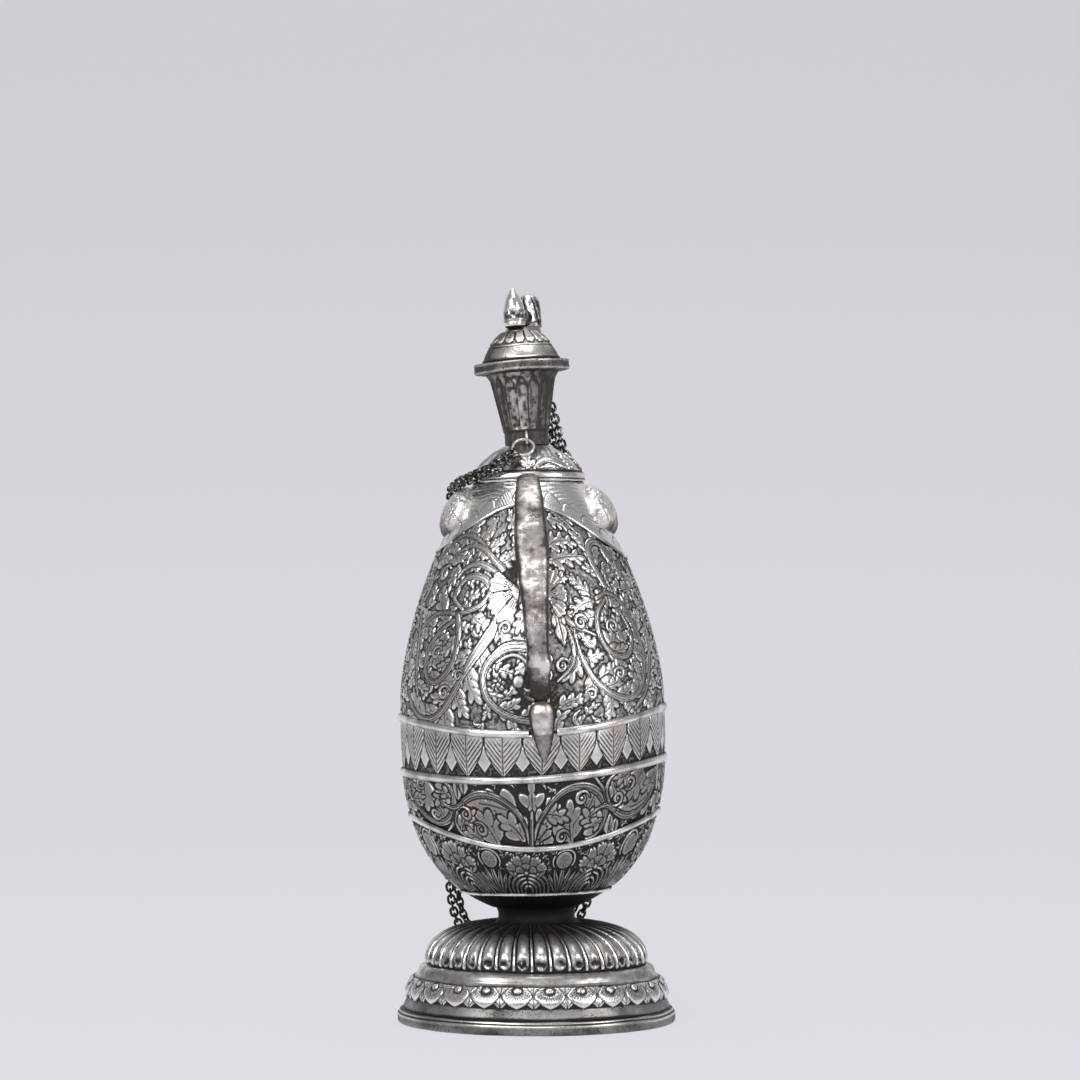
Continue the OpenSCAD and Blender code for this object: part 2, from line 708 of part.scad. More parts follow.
module strand_right() {
    strand(-1);
}

module jump_ring() {
    rotate_extrude($fn = 48) translate([ring_d / 2, 0]) circle(r = ring_wire / 2, $fn = 16);
}

// A half loop of wire with two short legs that stand on the neck or flange, in the plane x = 0
staple_reach = 2.2;
staple_bend_r = 2.3;

module staple() {
    rotate([0, 90, 0]) {
        translate([0, -staple_reach, 0]) rotate([0, 0, 180]) rotate_extrude(angle = 180, $fn = 32)
            translate([staple_bend_r, 0]) circle(r = ring_wire / 2, $fn = 16);
        for (s = [-1, 1]) translate([s * staple_bend_r, 0, 0]) rotate([90, 0, 0])
            cylinder(r = ring_wire / 2, h = staple_reach);
    }
}

staple_near_z = neck_z + 0.2 + staple_bend_r + ring_wire / 2;

module staple_near() {
    color(chain_grey) on_neck() translate([0, -neck_r - seat, staple_near_z]) staple();
}

// Hangs in its staple, pulled to the left, and lies down the slope of the collar
module ring_near() {
    slope = 50;
    pull = 1.6;
    drop = sqrt(pow(ring_d / 2, 2) - pull * pull);
    color(chain_grey) on_neck()
        translate([0, -neck_r - seat - staple_reach - 0.6, staple_near_z - 0.85])
            rotate([slope, 0, 0]) translate([-pull, -drop, 0]) jump_ring();
}

// The far staple hangs from the flange's underside, turned away from the spout
far_turn = 150;
staple_far_r = (cup_r + 1.6 + flange_r) / 2;

module staple_far() {
    color(chain_grey) on_neck() rotate([0, 0, far_turn])
        translate([0, -staple_far_r, flange_z - 0.1]) rotate([0, 0, 90]) rotate([90, 0, 0]) staple();
}

module ring_far() {
    swing = 1.7;
    hang = sqrt(pow(ring_d / 2, 2) - swing * swing);
    hold_z = flange_z - 0.1 - staple_reach - staple_bend_r + ring_wire + 0.2;
    color(chain_grey) on_neck() rotate([0, 0, far_turn])
        translate([0, -staple_far_r - swing, hold_z - hang]) rotate([0, 90, 0]) jump_ring();
}

base_plate();
foot_rim();
foot_skirt();
foot_dome();
stem();
lower_bowl();
upper_shell();
bowl_ring();
belt_lower();
belt_middle();
belt_upper();
shoulder_border();
boss_left();
boss_right();
shoulder_collar();
neck();
rim_flange();
lid_dome();
lid_plug();
finial_base();
finial_bird();
finial_rivet();
handle();
handle_leaf();
spout();
spout_collar();
spout_lip();
staple_near();
ring_near();
strand_left();
strand_right();
ring_far();
staple_far();
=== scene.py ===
import math

import bpy
import numpy as np
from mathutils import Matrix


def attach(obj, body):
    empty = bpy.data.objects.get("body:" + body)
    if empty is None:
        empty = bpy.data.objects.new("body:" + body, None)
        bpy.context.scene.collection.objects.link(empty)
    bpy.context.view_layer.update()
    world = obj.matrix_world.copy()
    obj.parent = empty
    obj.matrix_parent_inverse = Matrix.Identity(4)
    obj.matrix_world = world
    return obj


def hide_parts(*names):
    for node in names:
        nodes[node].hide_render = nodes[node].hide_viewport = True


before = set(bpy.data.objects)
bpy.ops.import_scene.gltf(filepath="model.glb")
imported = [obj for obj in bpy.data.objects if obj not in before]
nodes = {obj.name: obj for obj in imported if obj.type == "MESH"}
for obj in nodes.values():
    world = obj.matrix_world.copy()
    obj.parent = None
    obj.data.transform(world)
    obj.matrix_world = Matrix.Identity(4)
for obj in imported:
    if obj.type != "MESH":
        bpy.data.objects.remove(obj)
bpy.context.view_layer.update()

# ------------------------------------------------------------------ studio
# A seamless sheet of pale lilac-grey paper under and behind the pot, soft boxes at its left, its
# right, in front and overhead, and a long lens at the height of the pot's belly.
scene = bpy.context.scene
scene.view_settings.view_transform = "Standard"

paper_low = (0.735, 0.72, 0.765)
paper_high = (0.655, 0.645, 0.685)
even_share = 0.92
room_strength = 0.55
aim = (0, 0, 0.15)


class Tone:
    """A value inside a material: a node's output, on which arithmetic adds Math nodes."""

    def __init__(self, tree, socket=None):
        self.tree, self.socket = tree, socket

    def add(self, kind, settings=None, inputs=None, out=0):
        """One more node: its settings first, then the values or links of its sockets."""
        node = self.tree.nodes.new("ShaderNode" + kind)
        for key, value in (settings or {}).items():
            setattr(node, key, value)
        for key, value in (inputs or {}).items():
            if isinstance(value, Tone):
                self.tree.links.new(value.socket, node.inputs[key])
            else:
                node.inputs[key].default_value = value
        return Tone(self.tree, node.outputs[out] if len(node.outputs) else None)

    def feed(self, socket):
        self.tree.links.new(self.socket, socket)

    def math(self, operation, a, b):
        return self.add("Math", {"operation": operation}, {0: a, 1: b})

    def __add__(self, b):
        return self.math("ADD", self, b)

    __radd__ = __add__

    def __sub__(self, b):
        return self.math("SUBTRACT", self, b)

    def __rsub__(self, b):
        return self.math("SUBTRACT", b, self)

    def __mul__(self, b):
        return self.math("MULTIPLY", self, b)

    __rmul__ = __mul__

    def smooth(self, low, high):
        """Rises softly from 0 at low to 1 at high."""
        return self.add("MapRange", {"interpolation_type": "SMOOTHSTEP"},
                        {"Value": self, "From Min": low, "From Max": high})

    def mix(self, a, b):
        """Colour a where this value is 0 and colour b where it is 1."""
        a, b = (c if isinstance(c, Tone) else (*c, 1) for c in (a, b))
        return self.add("Mix", {"data_type": "RGBA"}, {0: self, 6: a, 7: b}, out=2)


def paper_material():
    """Matt paper; seen directly or in the metal it mostly glows evenly in its own colour, which is painted
    darker up the sweep as a painted falloff of the light.
    """
    mat = bpy.data.materials.new("pale_paper")
    mat.use_nodes = True
    mat.node_tree.nodes.clear()
    t = Tone(mat.node_tree)
    place = t.add("NewGeometry")
    height = t.add("SeparateXYZ", inputs={0: place}, out=2)
    # painted shade: the paper's colour darkens with height up the sweep
    colour = height.smooth(0.0, 0.75).mix(paper_low, paper_high)
    path = t.add("LightPath")
    seen = t.math("MAXIMUM", path, Tone(path.tree, path.socket.node.outputs["Is Glossy Ray"]))
    matt = t.add("BsdfDiffuse", inputs={"Color": colour})
    even = t.add("Emission", inputs={"Color": colour})
    both = t.add("MixShader", inputs={0: seen * even_share, 1: matt, 2: even})
    t.add("OutputMaterial", inputs={0: both})
    return mat


sweep_x = np.array([-3.0, 3.0])
bend = np.radians(np.linspace(0, 90, 25))
sweep_y = np.concatenate([[-3.0], 1.3 + 0.9 * np.sin(bend), [2.2]])
sweep_z = np.concatenate([[0.0], 0.9 - 0.9 * np.cos(bend), [3.0]])
count = len(sweep_y)
paper_mesh = bpy.data.meshes.new("paper_sweep")
paper_mesh.from_pydata(
    [(x, y, z - 0.0002) for x in sweep_x for y, z in zip(sweep_y, sweep_z)], [],
    [(k, count + k, count + k + 1, k + 1) for k in range(count - 1)])
paper_mesh.polygons.foreach_set("use_smooth", [True] * len(paper_mesh.polygons))
paper = bpy.data.objects.new("paper_sweep", paper_mesh)
scene.collection.objects.link(paper)
paper_mesh.materials.append(paper_material())

world = bpy.data.worlds.new("studio")
scene.world = world
world.use_nodes = True
world.node_tree.nodes.clear()
sky = Tone(world.node_tree)
direction = sky.add("TexCoord")
forward = sky.add("SeparateXYZ", inputs={0: direction}, out=1)
room = forward.smooth(-0.8, -0.1).mix((0.10, 0.10, 0.105), (0.52, 0.52, 0.54))
seen = sky.add("LightPath")
room = seen.mix(room, [c / room_strength for c in paper_high])
sky.add("OutputWorld", inputs={0: sky.add("Background", inputs={"Color": room, "Strength": room_strength})})

# name, place, width, height, watts
for name, place, wide, high, power in (
        ("soft_box_left", (-0.85, -1.15, 0.85), 0.6, 0.8, 14.0),
        ("soft_box_right", (1.15, -0.85, 0.65), 0.5, 0.8, 8.5),
        ("soft_box_front", (0.05, -1.55, 0.75), 0.7, 0.45, 5.5),
        ("soft_box_top", (0.0, 0.0, 1.5), 1.5, 1.0, 11.0)):
    lamp = bpy.data.lights.new(name, "AREA")
    lamp.shape, lamp.size, lamp.size_y, lamp.energy = "RECTANGLE", wide, high, power
    box = bpy.data.objects.new(name, lamp)
    box.location = place
    way = [a - p for a, p in zip(aim, place)]
    box.rotation_euler = (math.atan2(math.hypot(way[0], way[1]), -way[2]), 0,
                          math.atan2(way[1], way[0]) - math.pi / 2)
    scene.collection.objects.link(box)

camera = bpy.data.objects.new("camera", bpy.data.cameras.new("camera"))
camera.data.sensor_width = 36
camera.data.lens = 122.3
camera.data.clip_start = 0.05
camera.location = (0.0014, -1.47, 0.168)
camera.rotation_euler = (math.radians(90 + 0.937), 0, 0)
scene.collection.objects.link(camera)
scene.camera = camera

# ------------------------------------------------------------------- chain
# Two runs of dark plated wire links hang side by side from a jump ring at the neck's foot, over
# the left shoulder, down behind the belly to the foot and up again to a ring under the rim.
wire_d = 1.08
link_pitch = 2.6
link_width = 3.8
strand_apart = 3.9


def smooth_line(points, u):
    """Points on a Catmull-Rom curve: at u = i it passes through points[i]."""
    p = np.asarray(points, float)
    i = np.clip(np.floor(u).astype(int), 0, len(p) - 2)
    f = (u - i)[:, None]
    a, b, c, d = (p[np.clip(i + k, 0, len(p) - 1)] for k in (-1, 0, 1, 2))
    return 0.5 * (2 * b + (c - a) * f + (2 * a - 5 * b + 4 * c - d) * f ** 2
                  + (3 * b - a - 3 * c + d) * f ** 3)


def unit(v):
    return v / np.linalg.norm(v, axis=-1, keepdims=True)


def run_of(line):
    """How far along a line each of its points lies."""
    return np.concatenate([[0], np.cumsum(np.linalg.norm(np.diff(line, axis=0), axis=1))])


def new_piece(name, points, faces, finish, body="pot", relief=None):
    """A smooth mesh in millimetres from points and quads, or from quads and a list of larger
    faces, put on its body; relief is one number for each point, which silver_finish reads."""
    mesh = bpy.data.meshes.new(name)
    points = np.asarray(points, np.float32).reshape(-1, 3) / 1000
    if isinstance(faces, np.ndarray):
        faces, odd = faces.reshape(-1, 4), []
    else:
        faces, odd = faces
    mesh.vertices.add(len(points))
    mesh.vertices.foreach_set("co", points.ravel())
    loops = np.concatenate([faces.ravel()] + [np.asarray(f) for f in odd]).astype(np.int32)
    sizes = np.concatenate([np.full(len(faces), 4), [len(f) for f in odd]]).astype(np.int32)
    mesh.loops.add(len(loops))
    mesh.loops.foreach_set("vertex_index", loops)
    mesh.polygons.add(len(sizes))
    mesh.polygons.foreach_set("loop_start", np.concatenate([[0], np.cumsum(sizes)[:-1]]).astype(np.int32))
    mesh.polygons.foreach_set("loop_total", sizes)
    mesh.update(calc_edges=True)
    mesh.validate()
    mesh.polygons.foreach_set("use_smooth", np.full(len(mesh.polygons), True))
    if relief is not None:
        mark = mesh.attributes.new("relief", "FLOAT", "POINT")
        mark.data.foreach_set("value", np.asarray(relief, np.float32).ravel())
    piece = bpy.data.objects.new(name, mesh)
    scene.collection.objects.link(piece)
    mesh.materials.append(finish)
    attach(piece, body)
    return piece


def grid_faces(rows, columns, wrap_rows=False, wrap_columns=True):
    """Quads over a grid of points numbered row by row."""
    i = np.arange(rows if wrap_rows else rows - 1)[:, None]
    j = np.arange(columns if wrap_columns else columns - 1)[None, :]
    up, on = (i + 1) % rows, (j + 1) % columns
    return np.stack([i * columns + j, i * columns + on, up * columns + on, up * columns + j],
                    -1).reshape(-1, 4)


def chain_metal(name, dark, rub_and_sheen):
    """Blackened wire rubbed bright in small patches; more of it is painted bright towards the top, a painted
    light where the chain lies on the shoulder, with painted shade lower down.
    """
    mat = bpy.data.materials.new(name)
    mat.use_nodes = True
    shader = mat.node_tree.nodes["Principled BSDF"]
    t = Tone(mat.node_tree)
    place = t.add("TexCoord", out=3)
    height = t.add("SeparateXYZ", inputs={0: place}, out=2)
    wear_and_toplight = t.add("TexNoise", inputs={"Vector": place, "Scale": 900.0, "Detail": 3.0}).smooth(0.5, 0.68)
    # painted light: the rubbed patches grow towards the top and fade into painted shade lower down
    wear_and_toplight = wear_and_toplight * (0.25 + height.smooth(0.10, 0.20) * 0.75)
    colour = wear_and_toplight.mix(dark, rub_and_sheen)
    colour.feed(shader.inputs["Base Color"])
    (0.46 - wear_and_toplight * 0.22).feed(shader.inputs["Roughness"])
    skin = t.add("TexNoise", inputs={"Vector": place, "Scale": 2600.0, "Detail": 2.0})
    bump = t.add("Bump", inputs={"Strength": 0.25, "Distance": 0.0002, "Height": skin})
    bump.feed(shader.inputs["Normal"])
    shader.inputs["Metallic"].default_value = 0.9
    return mat


chain_finish = chain_metal("chain_metal", (0.028, 0.026, 0.024), (0.60, 0.58, 0.55))
ring_finish = chain_metal("ring_metal", (0.55, 0.53, 0.51), (0.92, 0.91, 0.89))
chain_route = [
    [-9.5, -21, 225.5], [-14, -21.5, 222], [-20.5, -19.5, 218.5], [-26.5, -13, 216.5], [-30.5, -3, 215],
    [-33, 7.5, 214], [-33.5, 18, 204], [-33, 26, 187], [-35.5, 33.5, 166.5], [-36.5, 40.5, 143],
    [-37, 43.5, 116], [-36.5, 44.5, 86], [-35, 45.5, 58], [-31.5, 47, 37], [-21.5, 49.5, 27],
    [-6, 51.5, 24], [8, 50, 28], [17, 48, 39.5], [23.5, 46.5, 57], [28.5, 45.5, 84],
    [32, 45.5, 114], [32.5, 41.5, 141], [30.5, 35, 165], [28, 27.5, 186], [24, 21.5, 200.5],
    [18.5, 18, 211], [14, 16.5, 220.5], [9.5, 15.5, 229], [6.8, 15.8, 238], [4.6, 16.2, 245.6]]


def link_loop(turn):
    """One closed oval link lying along Y, turned about its length: 16 places round, 6 sides."""
    a = np.radians(np.arange(16) * 22.5)
    straight = (link_pitch + 2 * wire_d - link_width) / 2
    x = (link_width - wire_d) / 2 * np.cos(a)
    y = (link_width - wire_d) / 2 * np.sin(a) + straight * np.sign(np.round(np.sin(a), 6))
    middle = np.stack([x, y, 0 * a], -1)
    outward = np.stack([np.cos(a), np.sin(a), 0 * a], -1)
    b = np.radians(np.arange(6) * 60)
    ring = (middle[:, None] + wire_d / 2 * (outward[:, None] * np.cos(b)[:, None]
            + np.array([0, 0, 1.0]) * np.sin(b)[:, None]))
    c, s = math.cos(turn), math.sin(turn)
    return np.stack([c * ring[..., 0] + s * ring[..., 2], ring[..., 1],
                     c * ring[..., 2] - s * ring[..., 0]], -1)


def refinish(name, finish):
    """Shows one of the solid pieces as it is, in a finish of its own."""
    nodes[name].data.materials.clear()
    nodes[name].data.materials.append(finish)


def strand_line(side):
    """The middle line of one strand, evenly stepped, with the direction across both strands."""
    u = np.linspace(0, len(chain_route) - 1, 1400)
    p = smooth_line(chain_route, u)
    d = unit(np.gradient(p, axis=0))
    flat = unit(p[:, :2])
    rise = np.clip((p[:, 2] - 150) / 55, 0, 1)
    across = unit(np.cross(d, unit(np.stack([flat[:, 0], flat[:, 1], rise], -1))))
    line = p + across * (side * strand_apart / 2)
    return line, across, run_of(line)


for name, side in (("left", 1), ("right", -1)):
    line, across, run = strand_line(side)
    # the end links reach into the jump rings
    links = int(round((run[-1] + 1.6) / link_pitch))
    at = np.linspace(-0.2, run[-1] + 0.2, links)
    middle = np.stack([np.interp(at, run, line[:, k]) for k in range(3)], -1)
    ahead = unit(np.stack([np.interp(at + 0.8, run, line[:, k]) - np.interp(at - 0.8, run, line[:, k])
                           for k in range(3)], -1))
    wide = np.stack([np.interp(at, run, across[:, k]) for k in range(3)], -1)
    wide = unit(wide - ahead * (wide * ahead).sum(1, keepdims=True))
    thick = np.cross(wide, ahead)
    forms = np.stack([link_loop(math.radians(45 + 12 * side)), link_loop(math.radians(-45 + 12 * side))])
    form = forms[np.arange(links) % 2]
    points = (middle[:, None, None] + form[..., :1] * wide[:, None, None]
              + form[..., 1:2] * ahead[:, None, None] + form[..., 2:] * thick[:, None, None])
    one = grid_faces(16, 6, wrap_rows=True)[:, ::-1]
    faces = (one[None] + 96 * np.arange(links)[:, None, None]).reshape(-1, 4)
    strand = new_piece("chain_" + name, points, faces, chain_finish)
    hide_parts("strand_" + name)
    line[0] / 1000
    (line[::10] / 1000).tolist()
for name in ("staple_near", "ring_near", "ring_far", "staple_far"):
    refinish(name, ring_finish)

# -------------------------------------------------------- chased silver plate
# The pot is raised from sheet, plated with silver, chased all over and blackened. The black
# stays in the sunk ground and in the tool marks, and the tops are rubbed bright again.


def silver_finish(name, base=0.0, oxide=(0.026, 0.024, 0.022), grey=(0.31, 0.297, 0.285),
                  bright=(0.90, 0.885, 0.865), pits=0.0, pit_size=1.1, punch=0.0, copper=0.35, rough=0.0):
    """Aged silver. The mark named relief, from 0 for sunk and black to 1 for high and rubbed,
    is added to base; pits are cast hollows of pit_size millimetres, and punch is how far apart
    the fine punch marks in the ground are."""
    mat = bpy.data.materials.new(name)
    mat.use_nodes = True
    shader = mat.node_tree.nodes["Principled BSDF"]
    t = Tone(mat.node_tree)
    place = t.add("TexCoord", out=3)
    cloud = t.add("TexNoise", inputs={"Vector": place, "Scale": 38.0, "Detail": 4.0})
    fine = t.add("TexNoise", inputs={"Vector": place, "Scale": 620.0, "Detail": 4.0, "Roughness": 0.7})
    level = t.add("Attribute", {"attribute_name": "relief"}, out=2) + base
    level = level + (cloud - 0.5) * 0.35 + (fine - 0.5) * 0.3
    height = fine
    if punch:
        dots = t.add("TexVoronoi", inputs={"Vector": place, "Scale": 1000 / punch}).smooth(0.42, 0.12)
        dots = dots * level.smooth(0.62, 0.45)
        level = level - dots * 0.3
        height = fine * 0.4 - dots * 0.8
    if pits:
        hollow = t.add("TexVoronoi", inputs={"Vector": place, "Scale": 1000 / pit_size}).smooth(0.45, 0.1)
        patch = t.add("TexNoise", inputs={"Vector": place, "Scale": 260.0, "Detail": 2.0}).smooth(0.42, 0.62)
        level = level - hollow * patch * (0.7 * pits)
        height = fine * 0.4 - hollow * patch * pits
    colour = level.smooth(0.12, 0.55).mix(oxide, grey)
    colour = level.smooth(0.5, 0.95).mix(colour, bright)
    worn = t.add("TexNoise", inputs={"Vector": place, "Scale": 85.0, "Detail": 3.0}).smooth(0.6, 0.72)
    worn = worn * level.smooth(0.35, 0.6) * copper
    colour = worn.mix(colour, (0.62, 0.40, 0.30))
    colour.feed(shader.inputs["Base Color"])
    polish = level.smooth(0.3, 0.95)
    (0.52 + rough - polish * 0.27 + (fine - 0.5) * 0.18).feed(shader.inputs["Roughness"])
    (level.smooth(0.05, 0.4) * 0.35 + 0.65).feed(shader.inputs["Metallic"])
    bump = t.add("Bump", inputs={"Strength": 0.45, "Distance": 0.0002, "Height": height})
    bump.feed(shader.inputs["Normal"])
    return mat


# heights up the pot, and how many degrees its parts lean to the left
stem_z, bowl_z, collar_z, neck_z = 38.5, 46.0, 215.0, 229.6
body_lean, neck_lean, handle_lean = 1.1, 3.0, 2.4
# the chased work is measured round the pot at this radius
work_r = 50.0
work_round = 2 * math.pi * work_r


def bezier(a, b, c, d, t):
    a, b, c, d = (np.array(q, float) for q in (a, b, c, d))
    t = np.asarray(t)[:, None]
    return (1 - t) ** 3 * a + 3 * (1 - t) ** 2 * t * b + 3 * (1 - t) * t * t * c + t ** 3 * d


def lean(p, degrees, pivot):
    """Tips points to the left about a level line through the pot's axis at height pivot."""
    a = math.radians(degrees)
    x, z = p[..., 0], p[..., 2] - pivot
    return np.stack([x * math.cos(a) - z * math.sin(a), p[..., 1],
                     x * math.sin(a) + z * math.cos(a) + pivot], -1)


def on_body(p):
    return lean(p, body_lean, stem_z)


def on_neck(p):
    return on_body(lean(p, neck_lean, neck_z))


half = np.linspace(0, 1, 300)
outline = np.concatenate([bezier((17.8, 46), (56.2, 62), (52.5, 104.5), (52.5, 128), half),
                          bezier((52.5, 128), (52.5, 147.5), (41.5, 186), (22, 215), half)[1:]])


def wall_r(z):
    return np.interp(z, outline[:, 1], outline[:, 0])


def wall_normal(z):
    """The wall's outward normal at height z: its shares outwards and upwards."""
    slope = (wall_r(z + 0.8) - wall_r(z - 0.8)) / 1.6
    n = np.sqrt(1 + slope ** 2)
    return 1 / n, -slope / n


def round_pot(r, z, turn):
    """Points at radius r and height z, turned from the handle's side towards the right."""
    return np.stack([r * np.sin(turn), -r * np.cos(turn), z + 0 * turn], -1)


def grain(s, t, size, seed, period=None):
    """Smooth unevenness from -1 to 1 with hollows about size apart; it repeats after period."""
    rng = np.random.default_rng(seed)
    table = rng.uniform(-1, 1, (64, 64))
    x, y = s / size, t / size + 7.3
    wrap = 64
    if period:
        wrap = round(period / size)
        x = x * (wrap / (period / size))
    i, j = np.floor(x).astype(int), np.floor(y).astype(int)
    f, g = x - i, y - j
    f, g = f * f * (3 - 2 * f), g * g * (3 - 2 * g)
    at = [table[(j + b) % 64, ((i + a) % wrap) % 64] for b in (0, 1) for a in (0, 1)]
    return (at[0] * (1 - f) + at[1] * f) * (1 - g) + (at[2] * (1 - f) + at[3] * f) * g


def bell(v, middle, wide):
    """A soft peak: 1 where v is at middle, about a third at wide from it and soon nothing."""
    return np.exp(-((v - middle) / wide) ** 2)


def half_turns(turn):
    """Angles brought between half a turn back and half a turn on."""
    return (turn + math.pi) % (2 * math.pi) - math.pi


nowhere = -9  # a distance in from the edge where there is no form


class Chasing:
    """The chaser's work on a grid of s, round the pot, and t, up it, in millimetres: each point's
    height over the ground, how black it is, and whether a raised form covers it."""

    def __init__(self, s, t, wander, seed, fold=None, radius=work_r):
        self.around = 2 * math.pi * radius
        self.s, self.t = s, t
        S, T = np.meshgrid(s, t)
        hand = [grain(S, T, size, seed + k, self.around) for k, size in enumerate((19.6, 6.5, 17.3))]
        S, T = S + wander * (hand[0] + 0.3 * hand[1]), T + wander * hand[2]
        if fold:
            S, self.s = (np.abs((v + fold) % (2 * fold) - fold) for v in (S, s))
        self.S, self.T = S.astype(np.float32), T.astype(np.float32)
        self.height, self.black, self.raised = np.zeros((3, *S.shape), np.float32)

    def uneven(self, size, seed):
        return grain(self.S, self.T, size, seed, self.around)

    def blacken(self, tone):
        self.black = np.maximum(self.black, tone).astype(np.float32)

    def near(self, x, y, reach):
        """The part of the grid within reach of x, y, with its s and t, or None."""
        columns = np.flatnonzero(np.abs(self.s - x) < reach + 1)
        rows = np.flatnonzero(np.abs(self.t - y) < reach + 1)
        if not len(columns) or not len(rows):
            return None
        at = np.ix_(rows, columns)
        return at, self.S[at], self.T[at]

    def beside(self, line, reach):
        """The part of the grid within reach of a whole line, as near gives it."""
        mid = (line.min(0) + line.max(0)) / 2
        return self.near(*mid, np.abs(line - mid).max() + reach)

    def lay(self, at, inside, top, marks=0.0, outline=0.5):
        """Sets a raised form in the field: inside is the distance in from its edge, top its
        height, marks its black tool lines; the ground is sunk and black along its edge."""
        h, b, up = self.height[at], self.black[at], self.raised[at]
        edge = np.clip(1 + inside / outline, 0, 1) * (inside <= 0)
        h = h - 0.22 * edge
        b = np.maximum(b, edge)
        form = inside > 0
        rim = np.clip(inside / 0.55, 0, 1)
        self.height[at] = np.where(form, top * np.sqrt(rim * (2 - rim)) - 0.1 * marks, h)
        self.black[at] = np.where(form, np.maximum(marks * 0.9, 0.5 * (1 - np.clip(inside / 0.25, 0, 1))), b)
        self.raised[at] = np.where(form, 1, up)

    def cover(self, inside, top, marks=0.0, outline=0.5):
        """Lays a form that is given over the whole grid."""
        self.lay(np.s_[:, :], inside, top, marks, outline)


def along(S, T, line, widths):
    """For each point: how far along the line it lies, from 0 to 1, how far to the left of it,
    and the line's width there."""
    a, d = line[:-1], np.diff(line, axis=0)
    px, py = S[..., None] - a[:, 0], T[..., None] - a[:, 1]
    q = np.clip((px * d[:, 0] + py * d[:, 1]) / (d ** 2).sum(1), 0, 1)
    ex, ey = px - q * d[:, 0], py - q * d[:, 1]
    far = ex ** 2 + ey ** 2
    k = far.argmin(-1)
    q, ex, ey, far = (np.take_along_axis(v, k[..., None], -1)[..., 0] for v in (q, ex, ey, far))
    side = np.sign(d[k, 0] * ey - d[k, 1] * ex)
    u = (k + q) / len(a)
    return u, side * np.sqrt(far), np.interp(u, np.linspace(0, 1, len(widths)), widths)


def lay_stem(field, line, widths, top):
    """A rounded stem with a line cut beside its middle where it is broad."""
    line = np.asarray(line, float)
    got = field.beside(line, max(widths) + 0.8)
    if got is None:
        return
    at, S, T = got
    _, d, w = along(S, T, line, widths)
    field.lay(at, w - np.abs(d), top * (1 - 0.35 * (d / np.maximum(w, 0.1)) ** 2),
              bell(d, 0.3 * w, 0.16) * (w > 0.75))


def lay_leaf(field, x, y, angle, length, width, turn, lobes, top=0.8, plain=False):
    """An acanthus leaf from its root at x, y: the middle rib bends by turn along its length, the
    edge is cut into lobes that lean forward, or is plain, and a tool line parts the lobes."""
    steps = 10
    way = angle + turn * np.linspace(0, 1, steps) ** 1.3
    line = np.cumsum(np.stack([np.cos(way), np.sin(way)], -1), 0) * length / steps
    line = np.concatenate([[[x, y]], line + [x, y]])
    got = field.beside(line, width + 0.8)
    if got is None:
        return
    at, S, T = got
    u, d, _ = along(S, T, line, [1, 1])
    full = width * np.sin(np.pi * np.clip(u, 0, 1) ** 0.7) ** 0.75
    out = np.abs(d) / max(width, 0.1)
    lobe = 1 + 0 * out if plain else np.abs(np.cos(np.pi * lobes * (u - 0.30 * out)))
    w = full * (0.60 + 0.40 * lobe ** 0.6)
    rib = bell(d, 0, 0.20)
    vein = bell(lobe, 0, 0.22) * (out > 0.22)
    field.lay(at, w - np.abs(d) - 0.05, top * (0.72 + 0.4 * bell(np.abs(d), 0.45 * w, 0.4 * width)),
              np.maximum(rib, vein * 0.9))


def lay_fan(field, x, y, angle, radius, spread, petals, top, lines=True):
    """A fan-shaped flower: petals with lobed tips round a small heart, finely rayed inwards."""
    got = field.near(x, y, radius + 1)
    if got is None:
        return
    at, S, T = got
    r = np.hypot(S - x, T - y)
    a = half_turns(np.arctan2(T - y, S - x) - angle)
    turn = a / spread * petals
    off = (turn + 0.5) % 1 - 0.5 if petals % 2 else turn % 1 - 0.5
    lobe = np.maximum(1 - (off / 0.52) ** 2, 0) ** 0.5
    reach = radius * (0.66 + 0.25 * lobe + 0.09 * np.abs(np.cos(3 * np.pi * off)))
    sides = (spread / 2 - np.abs(a)) * np.maximum(r, 0.3)
    inside = np.minimum(reach - r, sides)
    near_heart, near_tips = (r > 0.2 * radius) * (r < 0.5 * radius), r > 0.5 * radius
    rays = np.clip(np.cos(10 * math.pi * turn) * 1.7 - 0.5, 0, 1) * near_heart * lines
    gaps = bell((0.5 - np.abs(off)) * np.maximum(r, 1) / petals * spread, 0, 0.22) * (r > 0.25 * radius)
    ruffle = 0.22 * np.clip(np.cos(6 * math.pi * turn), 0, 1) * near_tips * lines
    field.lay(at, inside, top * (0.6 + 0.45 * (r / radius) ** 2) - 0.15 * rays - ruffle,
              np.maximum(rays * 0.9, gaps))


def lay_bead(field, x, y, r):
    got = field.near(x, y, r + 1)
    if got is None:
        return
    at, S, T = got
    far = np.hypot(S - x, T - y)
    field.lay(at, r - far, 0.9 * (0.55 + 0.45 * np.clip(1 - (far / r) ** 2, 0, 1)))


